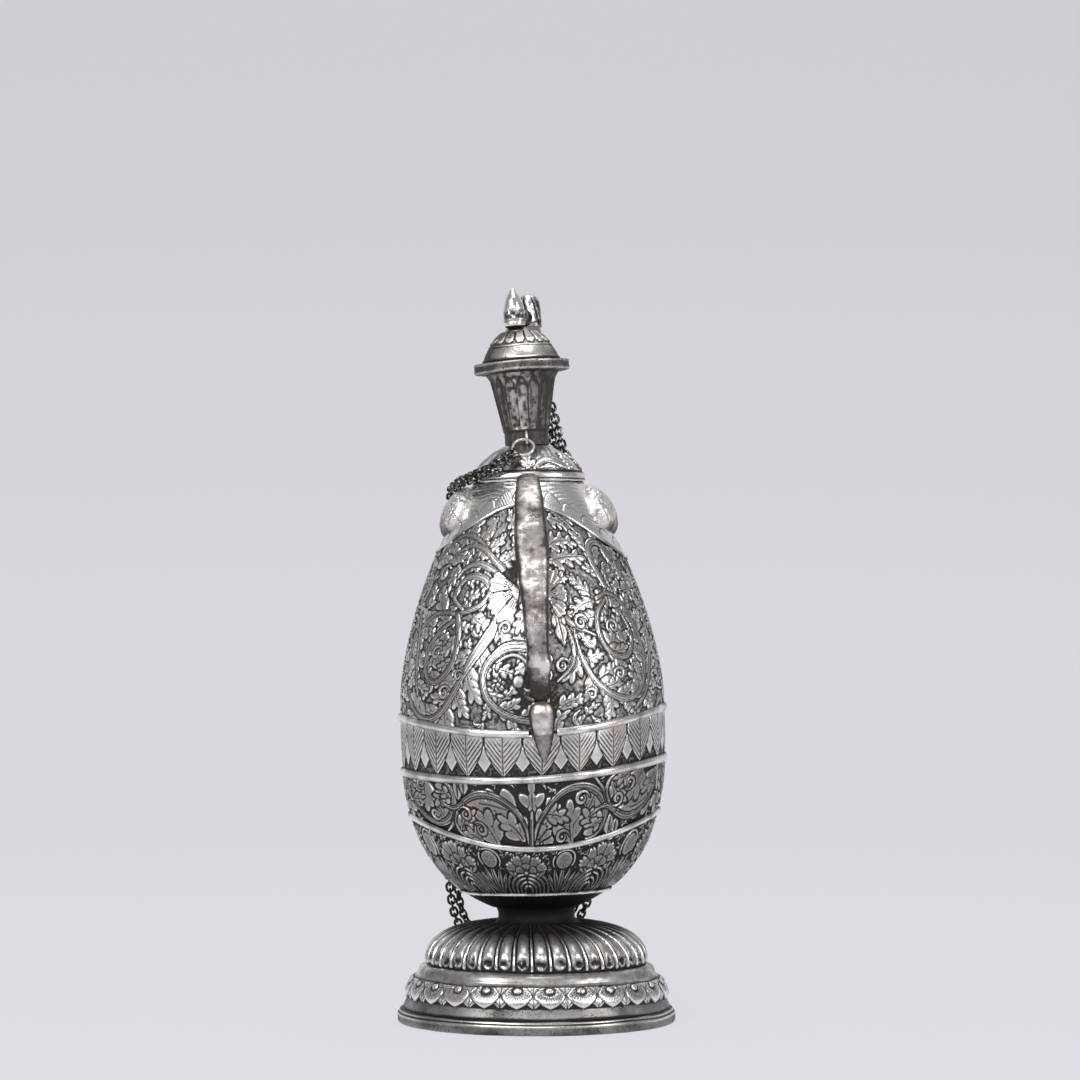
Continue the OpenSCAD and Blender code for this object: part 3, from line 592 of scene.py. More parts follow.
def lay_acanthus(field, x, y, angle, length, width, turn, fingers=3):
    """A leaf of rounded fingers. They grow by pairs from a rib that bends by turn, lean forward
    over one another and are parted by black lines; one finger more makes the tip."""
    steps = 8
    way = angle + turn * np.linspace(0, 1, steps)
    rib = np.cumsum(np.stack([np.cos(way), np.sin(way)], -1), 0) * length / steps
    rib = np.concatenate([[[x, y]], rib + [x, y]])
    got = field.beside(rib, width * 0.8)
    if got is None:
        return
    at, S, T = got
    u, d, w = along(S, T, rib, np.array([0.16, 0.30, 0.30, 0.20, 0.08]) * width)
    first, second = w - np.abs(d), np.full(S.shape, nowhere, np.float32)
    for k in range(2 * fingers + 1):
        f, side = (k // 2 + 0.25) / (fingers + 0.1), 1 - 2 * (k % 2)
        if k == 2 * fingers:
            f, side = 0.90, 0
        go = angle + turn * f + side * (0.85 - 0.35 * f)
        long = width * (0.58 - 0.20 * f)
        broad = long * 0.50
        c, s = math.cos(go), math.sin(go)
        root_x, root_y = (np.interp(f, np.linspace(0, 1, steps + 1), v) for v in rib.T)
        over, up = S - root_x - 0.75 * long * c, T - root_y - 0.75 * long * s
        a, b = over * c + up * s, up * c - over * s
        e = (1 - np.hypot(a / long, b / broad)) * broad
        first, second = np.maximum(first, e), np.maximum(second, np.minimum(first, e))
    parting = bell(first, second, 0.16) * (second > 0.1) * (np.abs(d) > 0.14 * width)
    rib_line = bell(d, 0, 0.17) * (u < 0.85)
    field.lay(at, first, 0.9 * (0.82 + 0.18 * np.clip(first / 0.9, 0, 1)),
              np.maximum(parting, rib_line * 0.8), outline=0.4)


def lay_ribbon(field, points, widths, top=0.8, grooves=True):
    """A broad flowing stem with two lines cut along it, drawn as a smooth curve by points."""
    line = smooth_line(points, np.linspace(0, len(points) - 1, 5 * len(points)))
    got = field.beside(line, max(widths) + 0.8)
    if got is None:
        return
    at, S, T = got
    _, d, w = along(S, T, line, widths)
    cut = bell(np.abs(d), 0.42 * w, 0.15) * np.clip((w - 0.62) * 4, 0, 1) if grooves else 0.0
    field.lay(at, w - np.abs(d), top, cut * 0.9, outline=0.45)


def lay_vines(field, vines):
    """Broad stems, each given by its points, widths and leaf length, that throw slender curled
    leaves left and right wherever there is room; all the leaves lie under all the stems."""
    every = 4.6
    for points, widths, leaf in vines:
        line = smooth_line(points, np.linspace(0, len(points) - 1, 12 * len(points)))
        run = run_of(line)
        dx, dy = np.gradient(line, axis=0).T
        way = np.unwrap(np.arctan2(dy, dx))
        for k in range(int(run[-1] / every) if leaf else 0):
            x, y, go = (np.interp((k + 0.7) * every, run, v) for v in (line[:, 0], line[:, 1], way))
            side, size = 1 - 2 * (k % 2), leaf * (1.25 + 0.45 * ((k * 5) % 7) / 6)
            out = go + side * 0.8
            got = field.near(x + 0.6 * size * math.cos(out), y + 0.6 * size * math.sin(out), 0.25 * size)
            if got is None or field.raised[got[0]].mean() > 0.5:
                continue
            lay_acanthus(field, x, y, go + side * 0.4, size, size * 0.56, side * 1.0, 3 if size > 8 else 2)
    for points, widths, leaf in vines:
        lay_ribbon(field, points, np.array(widths) * 1.2)


def lay_curl(field, x, y, r, hand, start, tail=0.0):
    """A small tight curl with a bead at its heart; tail makes it run out in a stem."""
    u = np.linspace(-tail, 1, 22)
    a = start + hand * 5.8 * u
    reach = r * (0.82 - 0.5 * np.clip(u, 0, 1) + 1.4 * np.clip(-u, 0, 1))
    line = np.stack([x + reach * np.cos(a), y + reach * np.sin(a)], -1)
    got = field.near(x, y, r * (1 + 1.4 * tail) + 1)
    if got is None:
        return
    at, S, T = got
    _, d, w = along(S, T, line, np.array([0.14, 0.27, 0.30, 0.22]) * r)
    coil = np.hypot(S - x, T - y) < r * (1.1 + 1.4 * tail)
    field.lay(at, np.where(coil, w - np.abs(d), nowhere), 0.85, outline=0.35)
    lay_bead(field, x, y, r * 0.27)


def fill_ground(field, seed, low, high, sizes=((6.4, 3.0), (4.6, 2.3), (3.2, 1.6)), share=0.07):
    """Fills what ground is left with small blades, curls and leaves, the large ones first. They
    are set out from the cells of a grid, so the work is the same wherever the band is cut."""
    for n, (reach, pitch) in enumerate(sizes):
        for i in range(math.floor(field.s.min() / pitch), math.ceil(field.s.max() / pitch)):
            for j in range(math.floor(low / pitch), math.ceil(high / pitch)):
                rng = np.random.default_rng((seed, n, i + 500, j))
                x, y = (i + rng.random()) * pitch, (j + rng.random()) * pitch
                if not low + 0.6 * reach < y < high - 0.6 * reach:
                    continue
                got = field.near(x, y, reach - 1)
                if got is None or field.raised[got[0]].mean() > share:
                    continue
                angle = rng.random() * 2 * math.pi
                turn = rng.choice([-1, 1]) * (0.8 + rng.random())
                kind = rng.random()
                long = reach * (1.7 + 0.3 * rng.random())
                back = angle + turn / 2
                root = x - 0.5 * long * math.cos(back), y - 0.5 * long * math.sin(back)
                if kind < 0.10:
                    lay_curl(field, x, y, reach * 0.55, rng.choice([-1, 1]), angle)
                elif kind < 0.40:
                    lay_acanthus(field, *root, angle, long, reach * 0.9, turn, 2)
                else:
                    # a tuft of three blades
                    for lean_out, size in ((-0.45, 0.8), (0.0, 0.55), (0.4, 1.0)):
                        way = angle + lean_out + turn * np.array([0, 0.35, 0.8, 1.3]) * size
                        walk = np.cumsum(np.stack([np.cos(way), np.sin(way)], -1), 0) * long * size / 4
                        lay_ribbon(field, np.concatenate([[root], walk + root]),
                                   np.array([0.05, 0.17, 0.20, 0.13, 0.04]) * reach, 0.75)


def lay_rosette(field, x, y, r):
    for k in range(6):
        b = k * 2 * math.pi / 6 + 0.3
        root = x + 0.15 * r * math.cos(b), y + 0.15 * r * math.sin(b)
        lay_leaf(field, *root, b, r * 0.85, r * 0.34, 0.2, 1, plain=True)
    lay_bead(field, x, y, r * 0.28)


def lay_scroll(field, x, y, radius, hand, start):
    """One winding of a vine: a broad stem that coils inwards about x, y and throws leaves out and
    in as it goes, round a rosette."""
    for k in range(7):
        g = (k + 0.4) / 9
        b = start + hand * 7.6 * g
        rr = radius * (1 - 0.66 * g ** 1.2)
        px, py, go = x + rr * math.cos(b), y + rr * math.sin(b), b + hand * math.pi / 2
        lay_acanthus(field, px, py, go - hand * 0.8, radius * 0.62, radius * 0.42, -hand * 0.9, 2)
        if k % 2 == 0:
            lay_acanthus(field, px, py, go + hand * 0.7, radius * 0.45, radius * 0.3, hand * 1.2, 2)
    lay_rosette(field, x, y, radius * 0.36)
    f = np.linspace(-0.16, 0.92, 12)
    a = start + hand * 7.6 * f
    r = radius * (1 - 0.66 * np.clip(f, 0, 1) ** 1.2 + 1.5 * np.clip(-f, 0, 1))
    lay_ribbon(field, np.stack([x + r * np.cos(a), y + r * np.sin(a)], -1),
               np.array([0.045, 0.075, 0.075, 0.06, 0.05]) * radius + 0.15)


def ring_faces(rows, columns, closed):
    """Quads of a hollow band whose section is a closed line. It goes on round the pot when
    closed; if not, it has a face at each end."""
    quads = grid_faces(rows, columns, wrap_rows=True, wrap_columns=closed)
    if closed:
        return quads
    end = np.arange(rows) * columns
    return quads, [end, end[::-1] + columns - 1]


def soften(h, k):
    """Means over a square of 2 k + 1 points; beyond an edge its last points are taken again."""
    for axis in (0, 1):
        pad = [(k + 1, k) if a == axis else (0, 0) for a in (0, 1)]
        c = np.cumsum(np.pad(h, pad, mode="edge"), axis=axis, dtype=np.float64)
        n, wide = h.shape[axis], 2 * k + 1
        h = (np.take(c, np.arange(wide, n + wide), axis) - np.take(c, np.arange(n), axis)) / wide
    return h.astype(np.float32)


chased = silver_finish("chased_silver", punch=0.75)
wall_thick = 1.5


def body_band(name, stands_for, low, high, rows, turn, chase, ground, rub, seed, wander, deep=1.0,
              closed=True, fold=None):
    """A ring of the body's wall between two height curves, its outside chased. chase(field, tall)
    works on s, which is 0 at the handle and grows to the right, and folded back with fold.
    ground is how bright the ground is, and rub how much brighter the raised forms are."""
    up = np.linspace(0, 1, rows)
    bottom, room = low(turn), high(turn) - low(turn)
    tall = float(np.mean(room)) * 1.03
    field = Chasing(half_turns(turn) * work_r, up * tall, wander, seed, fold)
    chase(field, tall)
    z = bottom + up[:, None] * room
    hold = np.clip(np.minimum(up, 1 - up) * tall / 0.9, 0, 1)[:, None]
    stipple = field.uneven(0.85, seed + 5) * (1 - field.raised)
    h = (field.height - 0.38) * hold + 0.10 * stipple * hold
    # the relief is quiet under the handle's leaf and the spout's root
    calm = np.clip(np.hypot((turn[None] - 0.075) * work_r / 6.5, (z - 117) / 14) - 0.6, 0, 1)
    from_spout = (np.abs(turn[None]) % (2 * math.pi) - math.pi) * work_r
    calm = calm * np.clip(np.hypot(from_spout, z - 144) / 16 - 0.7, 0, 1)
    h = (h * calm + np.minimum(h, 0.05) * (1 - calm)) * deep
    level = ground + rub * field.raised + 0.25 * (h - soften(h, 3)) / 0.3 - 0.85 * field.black
    level = level + 0.17 * stipple
    level = np.where(hold < 0.9, level * hold, level)
    n_out, n_up = wall_normal(z)
    r = wall_r(z)
    outside = on_body(round_pot(r + n_out * h, z + n_up * h, turn[None]))
    z = bottom + np.array([1, 0.8, 0.6, 0.4, 0.2, 0])[:, None] * room
    n_out, n_up = wall_normal(z)
    inside = on_body(round_pot(wall_r(z) - n_out * wall_thick, z - n_up * wall_thick, turn[None]))
    points = np.concatenate([outside, inside])
    level = np.concatenate([level, np.zeros(z.shape)])
    faces = ring_faces(*points.shape[:2], closed)
    piece = new_piece(name, points, faces, chased, relief=np.clip(level, 0, 1.2))
    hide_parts(*stands_for)


def ring_turns(count):
    """Angles once round the pot, closer together on the handle's side."""
    a = np.arange(count) * 2 * math.pi / count
    return a - 0.3 * np.sin(a)


# the heights of the wires that part the bands, and of the shoulder's top, all the way round
def bowl_ring_z(a):
    return bowl_z + 6.6 + 0 * a


def belt_lower_z(a):
    return bowl_z + 31.4 - 6 * np.cos(2 * a)


def belt_middle_z(a):
    return bowl_z + 54.6 - 2 * np.cos(2 * a) + 2 * np.sin(a)


def belt_upper_z(a):
    return bowl_z + 73.9 - 3.6 * np.cos(2 * a) + 1.2 * np.sin(a)


def border_z(a):
    return bowl_z + 150 + 10 * np.cos(2 * a) - 2 * np.sin(a)


def shoulder_top_z(a):
    return collar_z - 0.02 + 0 * a


# -------------------------------------------------------------- flower band
# The lowest band of the bowl: nine lotus fans with curled feet, and a round petal in a raised
# outline standing between each two, on black ground.


def chase_flowers(field, tall):
    pitch = work_round / 9
    for k in range(-5, 6):
        x = k * pitch - 4.0
        # the round petal in its hood, over a sheaf of long blades
        egg = x + pitch / 2
        for blade in (-2, 2, -1, 1, 0):
            lay_leaf(field, egg + 0.5 * blade, 0.8, math.pi / 2 - 0.30 * blade, 15.5 - 1.3 * abs(blade), 1.45,
                     0.12 * blade, 1, 0.7, plain=True)
        turn = np.radians(np.linspace(-35, 215, 9))
        lay_ribbon(field, np.stack([egg + 5.0 * np.cos(turn), 17.6 + 5.3 * np.sin(turn)], -1),
                   [0.35, 0.6, 0.6, 0.35], 0.7, False)
        got = field.near(egg, 17.8, 6.0)
        if got:
            at, S, T = got
            field.lay(at, (1 - np.hypot((S - egg) / 3.7, (T - 17.8) / 4.3)) * 3.9, 0.75, outline=0.6)
        # the lotus over its drooping leaves
        for side in (-1, 1):
            for j in range(5):
                turn = np.linspace(0.12, 1.62, 7)
                lay_ribbon(field, np.stack([x + side * (2.2 + 2.4 * j) * np.sin(turn),
                                            1.6 + (3.4 + 2.1 * j) * np.cos(turn)], -1),
                           [0.35, 0.8, 0.95, 0.5], 0.75)
            lay_leaf(field, x + side * 5.5, 10.4, math.pi / 2 - side * 0.75, 7.6, 2.0, side * 0.9, 1, 0.8,
                     plain=True)
        lay_fan(field, x, 12.0, math.pi / 2, 10.8, 2.9, 5, 0.9, lines=False)
        lay_fan(field, x, 11.6, math.pi / 2, 6.0, 3.0, 3, 0.85)
        lay_bead(field, x, 12.0, 1.2)
    fill_ground(field, 4, 1, tall - 0.4, ((2.2, 1.2), (1.6, 0.9)), 0.1)


body_band("flower_band", ["lower_bowl"], bowl_ring_z, belt_lower_z, 78, ring_turns(900), chase_flowers,
          ground=-0.07, rub=0.53, seed=3, wander=0.45)

# --------------------------------------------------------------- scroll band
# Between the lower and the middle belt: a vine that winds away from a palmette under the handle,
# flat bright leaves on black ground.


def chase_vine(field, tall):
    stems = (
        ([(-0.8, 1.0), (-2.6, 7.5), (-6.2, 13.2), (-11, 16.9), (-16.8, 18.9), (-22.4, 18.2), (-27.6, 15.0),
          (-31.6, 10.4), (-34.0, 5.4), (-37.5, 1.2)], [0.6, 0.9, 1.15, 1.5, 1.2, 0.9, 0.5]),
        ([(-27.8, 14.6), (-31.2, 12.3), (-35.2, 12.4), (-39.2, 14.6)], [1.1, 1.2, 0.8, 0.3]),
        ([(-30.8, 11.0), (-32.2, 6.6), (-30.6, 2.4), (-26.8, 0.8)], [0.7, 0.8, 0.6, 0.3]),
        ([(0.9, 1.0), (2.0, 7.2), (5.4, 12.6), (9.8, 17.6), (15.4, 20.3), (21.8, 20.2), (27.2, 17.2),
          (30.4, 12.0), (30.6, 6.2), (28.2, 2.2), (23.6, 0.9)], [0.5, 0.8, 1.0, 1.35, 1.5, 1.3, 0.9, 0.5]))
    leaves = (
        (-6.0, 12.2, 2.72, 17.0, 9.4, 0.45, 3), (-14.6, 1.6, 1.95, 8.6, 9.6, 0.35, 2),
        (-3.4, 3.4, 2.15, 9.0, 7.2, 0.5, 2), (-29.6, 4.0, 1.15, 8.8, 6.0, -0.5, 2),
        (-21.4, 1.4, 2.5, 6.0, 5.4, 0.8, 2), (2.6, 6.8, 0.92, 12.5, 6.4, 0.1, 2),
        (25.6, 18.2, -1.9, 9.4, 6.8, -0.35, 2), (16.6, 1.6, 1.85, 9.6, 9.4, -0.3, 2),
        (29.4, 3.4, 2.5, 9.0, 7.0, -0.3, 2), (5.6, 11.6, 0.1, 7.4, 5.4, -0.6, 2),
        (0.2, 12.6, 1.57, 7.6, 7.4, 0.0, 1), (-33.6, 16.8, 2.6, 5.4, 4.6, 0.6, 1))
    for k in range(-3, 4):
        upright = k % 2 == 0
        x = k * work_round / 5 - 1.2
        sign = 1 if upright else -1

        def spot(s, t):
            return [x + s, t if upright else tall - t]

        for s, t, angle, length, width, turn, fingers in leaves:
            lay_acanthus(field, *spot(s, t), sign * angle, length, width, sign * turn, fingers)
        for points, widths in stems:
            lay_ribbon(field, [spot(s, t) for s, t in points], widths, 0.8)
        for s, t, hand in ((20.0, 16.4, 1), (-20.6, 5.6, -1), (12.6, 3.6, 1), (-26.6, 10.6, -1)):
            lay_curl(field, *spot(s, t), 2.9, sign * hand, sign * 1.2, 0.2)
        lay_stem(field, [spot(0, 0), spot(0, 12.5)], [0.95, 0.7], 0.7)
        lay_fan(field, *spot(1.2, 1.2), sign * 0.62, 8.6, 1.25, 3, 0.8)
        for s, long in ((33.4, 8.0), (36.4, 5.5)):
            lay_leaf(field, *spot(s, 0.6), sign * math.pi / 2, long, 2.2, 0, 1, plain=True)
    fill_ground(field, 6, 0.3, tall - 0.3, ((2.6, 1.7), (1.8, 1.3)), 0.03)


body_band("scroll_band", ["lower_bowl"], belt_lower_z, belt_middle_z, 76, ring_turns(900), chase_vine,
          ground=0.02, rub=0.5, seed=7, wander=0.4)

# ----------------------------------------------------------------- leaf band
# Between the middle and the upper belt: a row of hanging pointed leaves, each with a middle rib
# and slanting tool lines, plain lozenges between them and stippled ground below.
leaves_round = 22


def chase_hanging_leaves(field, tall):
    pitch = work_round / leaves_round
    S, T = field.S, field.T
    p = (S / pitch + 0.28) % 1 - 0.5
    v = T / tall
    q = (p + 1.0) % 1 - 0.5
    wide = np.interp(v, [0.16, 0.40, 0.76], [0, 0.22, 0])
    field.cover((wide - np.abs(q)) * pitch, 0.75, outline=0.3)
    w = np.interp(v, [0.06, 0.14, 0.26, 0.42, 0.58, 0.72, 0.86, 1],
                  [0, 0.09, 0.215, 0.335, 0.43, 0.48, 0.485, 0.46])
    off = np.abs(p) * pitch
    cut = np.clip(np.cos(2 * np.pi * (off * 0.80 - T * 0.55) / 1.25) * 2.2 - 0.8, 0, 1) * (off > 0.5)
    cut = cut * np.clip(1.5 + 1.4 * field.uneven(6.0, 31), 0.3, 1) * np.clip((0.92 - v) * 6, 0, 1)
    rib = bell(p * pitch, 0, 0.22)
    inside = (w - np.abs(p)) * pitch
    field.cover(inside, 0.75 + 0.2 * np.clip(1 - np.abs(p) / np.maximum(w, 0.02), 0, 1),
                np.maximum(rib * 0.9, cut), outline=0.35)
    field.blacken(bell(inside, 0, 0.2) * (v > 0.06) * 0.9)


body_band("leaf_band", ["lower_bowl", "upper_shell"], belt_middle_z, belt_upper_z, 74, ring_turns(1080),
          chase_hanging_leaves, deep=0.8, ground=0.22, rub=0.55, seed=11, wander=0.35)

# --------------------------------------------------------------- upper field
# The tall field of the upper body: coiling acanthus vines, with a broad fan flower behind the
# handle and round scrolls below it, raised in high relief on a stippled ground.
seam_s = 78.54


def lay_seam(field, s, tall):
    """A plain upright stem over the line where the front and the back of the field meet."""
    lay_ribbon(field, [(s, -2), (s, tall / 2), (s, tall + 2)], [1.5, 1.5])


def chase_front(field, tall):
    for side in (-1, 1):
        for x, y, r, start in ((68, 60, 8.5, 3.6), (68, 40, 8.0, 2.0), (69, 19, 8.5, 4.5)):
            lay_scroll(field, side * x, y, r, side, start if side > 0 else math.pi - start)
    for x, y, angle, length, width, turn in (
            # left of the handle
            (-20.5, 33.5, 1.9, 12.5, 5.2, -0.6), (-24.9, 41.5, -0.9, 8, 5.0, 0.8),
            (-24.5, 25, 2.2, 7.5, 4, -1.0), (-38.5, 22.5, 1.9, 14, 6.5, -0.5),
            (-37, 36.5, 4.3, 7, 4, 0.9), (-30.5, 47, 0.9, 7, 4.2, -1.2),
            (-15.4, 22.6, -0.1, 10.5, 4.6, -0.4), (0.5, 27.5, -1.9, 8, 5.2, -0.6),
            (-13.5, 10.5, 0.3, 9.5, 4.0, 0.5), (-12.5, 30.6, 0.35, 13.5, 6.8, 0.25),
            (-39.5, 62.5, -1.75, 9.5, 4.6, -0.6), (-21, 75.5, -2.6, 13, 6.0, 1.0),
            (-12.5, 56.8, 2.4, 11, 5.4, 0.5), (-6, 69, 2.6, 10, 5.0, -0.5), (-3.5, 58, 1.8, 9, 5, 0.6),
            # right of it
            (20.5, 22, 0.9, 9.5, 4.8, -0.7), (33.5, 30, 1.3, 13, 6.4, -0.5),
            (41.5, 32.5, 1.9, 9.5, 4.6, 0.8), (27, 18, 0.3, 11, 5.4, 0.6),
            (45.5, 17, 1.9, 8.5, 4.6, -0.6), (10.5, 58.5, 0.35, 18, 6.4, -0.2),
            (10.5, 64, 0.5, 15, 5.4, -0.5), (28.5, 46.8, 3.4, 12, 5.6, 0.5), (27, 49, 2.3, 9, 4.6, 0.6),
            (11, 8, 0.6, 9, 4.6, -0.6), (25.5, 29, 2.0, 7.5, 4.2, 0.9), (8.5, 52, 0.5, 7.5, 4.6, -0.6),
            (12, 74, 0.1, 12, 4.6, -0.3)):
        lay_acanthus(field, x, y, angle, length, width, turn)
    lay_vines(field, [
        # left: arched stems under the border, the hooked scroll, the long stem, the tall oval
        ([(-62, 62), (-59.8, 68.1), (-52.6, 75.0), (-41.9, 76), (-31.0, 70.5), (-21.6, 64.5)],
         [0.4, 0.8, 0.9, 0.8, 0.4], 6.5),
        ([(-51, 61), (-45.2, 67.6), (-36.2, 68.8), (-26.8, 66.3), (-19.2, 61.6), (-13, 56.6)],
         [0.4, 0.7, 0.8, 0.9, 1.1], 6.0),
        ([(-38, 57.5), (-34.5, 60.1), (-26.4, 60.4), (-18.3, 57.1), (-13.2, 53.0)],
         [0.4, 0.8, 1.1, 0.5], 5.0),
        ([(-33, 43.3), (-46, 45.5), (-57.8, 39.2), (-62, 30), (-61, 20)], [0.6, 0.95, 0.95, 0.6], 6.5),
        ([(-31, 44.8), (-37.5, 50.8), (-32.3, 56.1), (-23.1, 54.9), (-18.1, 50.1), (-20.9, 45.6),
          (-27, 43.9), (-34, 43.6)], [0.5, 0.8, 1.3, 1.0, 0.7], 4.2),
        ([(-14, 42.5), (-15.7, 36.1), (-19.6, 31.2), (-22.7, 26.8), (-26.8, 20.4), (-32.3, 11.7),
          (-38, 5.2), (-44.3, 2.6), (-52.8, 4.8), (-58.9, 13)],
         [0.5, 1.9, 1.8, 1.15, 1.05, 1.05, 1.05, 0.7], 7.5),
        ([(-33.2, 42.6), (-31, 36.2), (-31.6, 26.4), (-36, 20.4), (-41.9, 17.4), (-46.7, 21.7), (-47.3, 30),
          (-41.9, 37.4), (-34.7, 41.4)], [1.1, 1.05, 0.95, 1.0, 0.7], 5.5),
        ([(-60, 48), (-57, 40), (-54, 26), (-51, 12)], [0.5, 0.9, 0.9, 0.5], 5.5),
        ([(3, 28.3), (-6.8, 29.8), (-12.7, 28.3), (-17, 23.6), (-18.1, 17.9), (-16.1, 11.6), (-11.1, 7.2),
          (-2.6, 4.6), (4, 4.8)], [1.5, 1.5, 1.15, 1.0, 0.9, 0.8], 5.0),
        # right: blades under the border, the great oval loop round a second oval, stems by the handle
        ([(36.9, 55), (33.2, 63.4), (33.4, 69.4), (40.0, 74.0), (48.7, 72.0), (53.5, 66.0), (55.4, 55.1)],
         [1.2, 1.5, 1.0, 0.8, 0.5], 6.0),
        ([(42, 50), (39.5, 58), (41, 65), (46.5, 64), (47, 57)], [0.5, 0.9, 0.9, 0.5], 4.5),
        ([(9, 78), (20, 76.5), (29, 73)], [0.5, 0.8, 0.4], 5.5),
        ([(10, 41.8), (18, 36.8), (27.1, 34)], [1.2, 1.1, 0.4], 4.0),
        ([(17.5, 35), (19.5, 26.5), (24.7, 17.8), (32.5, 11.6), (41.7, 9.1), (49.5, 14.8), (52.5, 28.4),
          (50, 40.2), (45.2, 49.4), (37.5, 51.8), (30.3, 48.2)], [0.7, 1.05, 1.1, 1.1, 1.1, 0.9, 0.6], 6.5),
        ([(34.7, 48.4), (30, 43), (28.8, 37), (30.5, 31), (36, 26.6), (43.2, 28.1), (46.5, 36.9),
          (42.5, 45)], [0.6, 1.0, 1.0, 0.9, 0.6], 5.5),
        ([(10, 41.8), (14.8, 35.2), (17, 27.5), (15.3, 21.8), (10.2, 17.2)], [0.6, 0.8, 0.8, 0.4], 0),
        ([(62, 50), (61, 40), (57.5, 25.2), (51.5, 11), (44, 4)], [0.6, 1.0, 1.0, 0.6], 6.0)])
    lay_ribbon(field, [(-13.2, 24.8), (-7.5, 26.9), (-2.6, 25.0), (-0.2, 21.5)], [0.4, 0.7, 0.7],
               grooves=False)
    lay_leaf(field, 10.6, 41.6, -1.4, 13, 3.1, 0.1, 2, 0.95)
    lay_fan(field, -5.5, 49.0, 3.55, 14.5, 2.1, 3, 0.95)
    lay_acanthus(field, 1, 42.6, 3.75, 8.5, 6, 0.5)
    lay_fan(field, 7.0, 47, 0.15, 10.0, 2.6, 3, 0.95)
    lay_rosette(field, -12.0, 16.6, 3.2)
    lay_bead(field, -4.4, 17.4, 2.3)
    for x, y, r, hand in (
            (-10.3, 36.2, 2.3, -1), (-48.4, 62.6, 3.0, 1), (-36.2, 13.6, 2.8, 1), (-41.5, 29, 2.6, 1),
            (-29.3, 20.2, 2.0, 1), (20.9, 38.2, 2.9, 1), (11.8, 22.5, 2.5, 1), (37.1, 19.8, 2.8, -1),
            (36.5, 38.5, 2.8, -1), (23.3, 12.3, 2.4, -1)):
        lay_curl(field, x, y, r, hand, 2.0, 0.3)
    fill_ground(field, 8, 0.3, tall - 0.3)
    # painted shade under the handle's end and in the hollow above the fan flower
    S, T = field.S, field.T
    deep = (0.42 * np.exp(-(S / 11) ** 2 - ((T - 12) / 11) ** 2)
            + 0.7 * np.exp(-((S + 7.5) / 3.4) ** 2 - ((T - 56.5) / 3.5) ** 2))
    field.black += deep * (1.3 - 0.6 * field.raised)
    for side in (-1, 1):
        lay_seam(field, side * seam_s, tall)


def chase_back(field, tall):
    for x, y, r, hand, start in (
            (92, 15, 11.5, -1, 2.6), (117, 14.5, 11.0, 1, 0.4), (142, 15, 11.0, -1, 2.7),
            (91, 40, 11.5, 1, -1.3), (116, 39.5, 11.5, -1, 4.4), (143, 40, 10.5, 1, -1.2),
            (90, 65.5, 10.5, -1, 3.9), (113, 65.5, 10.5, 1, -0.7), (136, 66, 10.5, -1, 3.9),
            (154, 64, 7.5, 1, -0.7)):
        lay_scroll(field, x, y, r, hand, start)
    fill_ground(field, 9, 0.3, tall - 0.3)
    lay_seam(field, seam_s, tall)


front = np.linspace(-math.pi / 2, math.pi / 2, 426)
back = np.linspace(math.pi / 2, 3 * math.pi / 2, 331)
body_band("upper_field_front", ["upper_shell"], belt_upper_z, border_z, 226, front, chase_front,
          ground=0.46, rub=0.26, closed=False, seed=17, wander=0.7, deep=0.68)
body_band("upper_field_back", ["upper_shell"], belt_upper_z, border_z, 200, back, chase_back,
          ground=0.46, rub=0.26, closed=False, seed=17, wander=0.7, deep=0.68, fold=work_round / 2)

# ------------------------------------------------------------------ shoulder
# Above the arched border: a row of hatched petals, then fine lines round the pot up to the
# collar.


def chase_shoulder(field, tall):
    S, T = field.S, field.T
    room = collar_z - border_z(S / work_r)
    over, under = T / tall * room, (1 - T / tall) * room
    field.raised += 0.85
    pitch = work_round / 26
    p = ((S / pitch) % 1 - 0.5) * pitch * 0.86
    petal = 5.6 - np.hypot(p, over * 0.8)
    cut = np.clip(np.cos(2 * np.pi * (p * 0.75 + over * 0.66) / 1.15) * 2 - 1, 0, 1)
    field.cover(np.where(over < 8, petal, nowhere), 0.5, cut * 0.8, outline=0.8)
    rings = bell((under + 0.9 * field.uneven(14, 3) + 0.7) % 1.75, 0.87, 0.2)
    rings = rings * (under < 0.55 * room) * np.clip(1.1 + field.uneven(8.0, 8), 0.2, 1)
    arcs = bell((over + 1.2 * field.uneven(11, 5)) % 2.1, 1.05, 0.22)
    arcs = arcs * (under > 0.55 * room) * np.clip(0.9 + field.uneven(7.0, 9), 0.1, 1)
    lines = np.maximum(rings, arcs) * (petal < -0.4)
    field.height[:] = np.where(petal > 0, field.height, 0.3 - 0.16 * lines)
    field.blacken(lines * 0.5)


body_band("shoulder", ["upper_shell"], border_z, shoulder_top_z, 60, ring_turns(760), chase_shoulder,
          ground=0.74, rub=0.5, seed=23, wander=0.4)

# ---------------------------------------------------------------- bowl's foot
# Below the bead ring the bowl runs plain into the stem; both are painted near black, a painted shade under
# the bowl.
under_bowl_shade = silver_finish("under_bowl_shade_silver", base=-0.05, oxide=(0.012, 0.011, 0.011),
                          grey=(0.05, 0.047, 0.045), bright=(0.2, 0.19, 0.18), copper=0.1, rough=0.12)
turns = ring_turns(200)
up = np.linspace(0, 1, 30)
z = bowl_z + 0.02 + 6.5 * up
n_out, n_up = wall_normal(z)
outside = np.stack([wall_r(z), z], -1)
inner = np.stack([wall_r(z) - 1.6 * n_out, np.maximum(z - 1.6 * n_up, bowl_z + 1.2)], -1)[::-6]
shape = np.concatenate([outside, inner, [[6.0, bowl_z + 1.2], [6.0, bowl_z + 0.02]]])
points = on_body(round_pot(shape[:, :1], shape[:, 1:], turns[None]))
level = 0.12 + 0.1 * grain(shape[:, 1] * 3, shape[:, 0], 3, 4)
lower = new_piece("bowl_underside", points, ring_faces(len(shape), len(turns), True), under_bowl_shade,
                  relief=np.repeat(level, len(turns)))
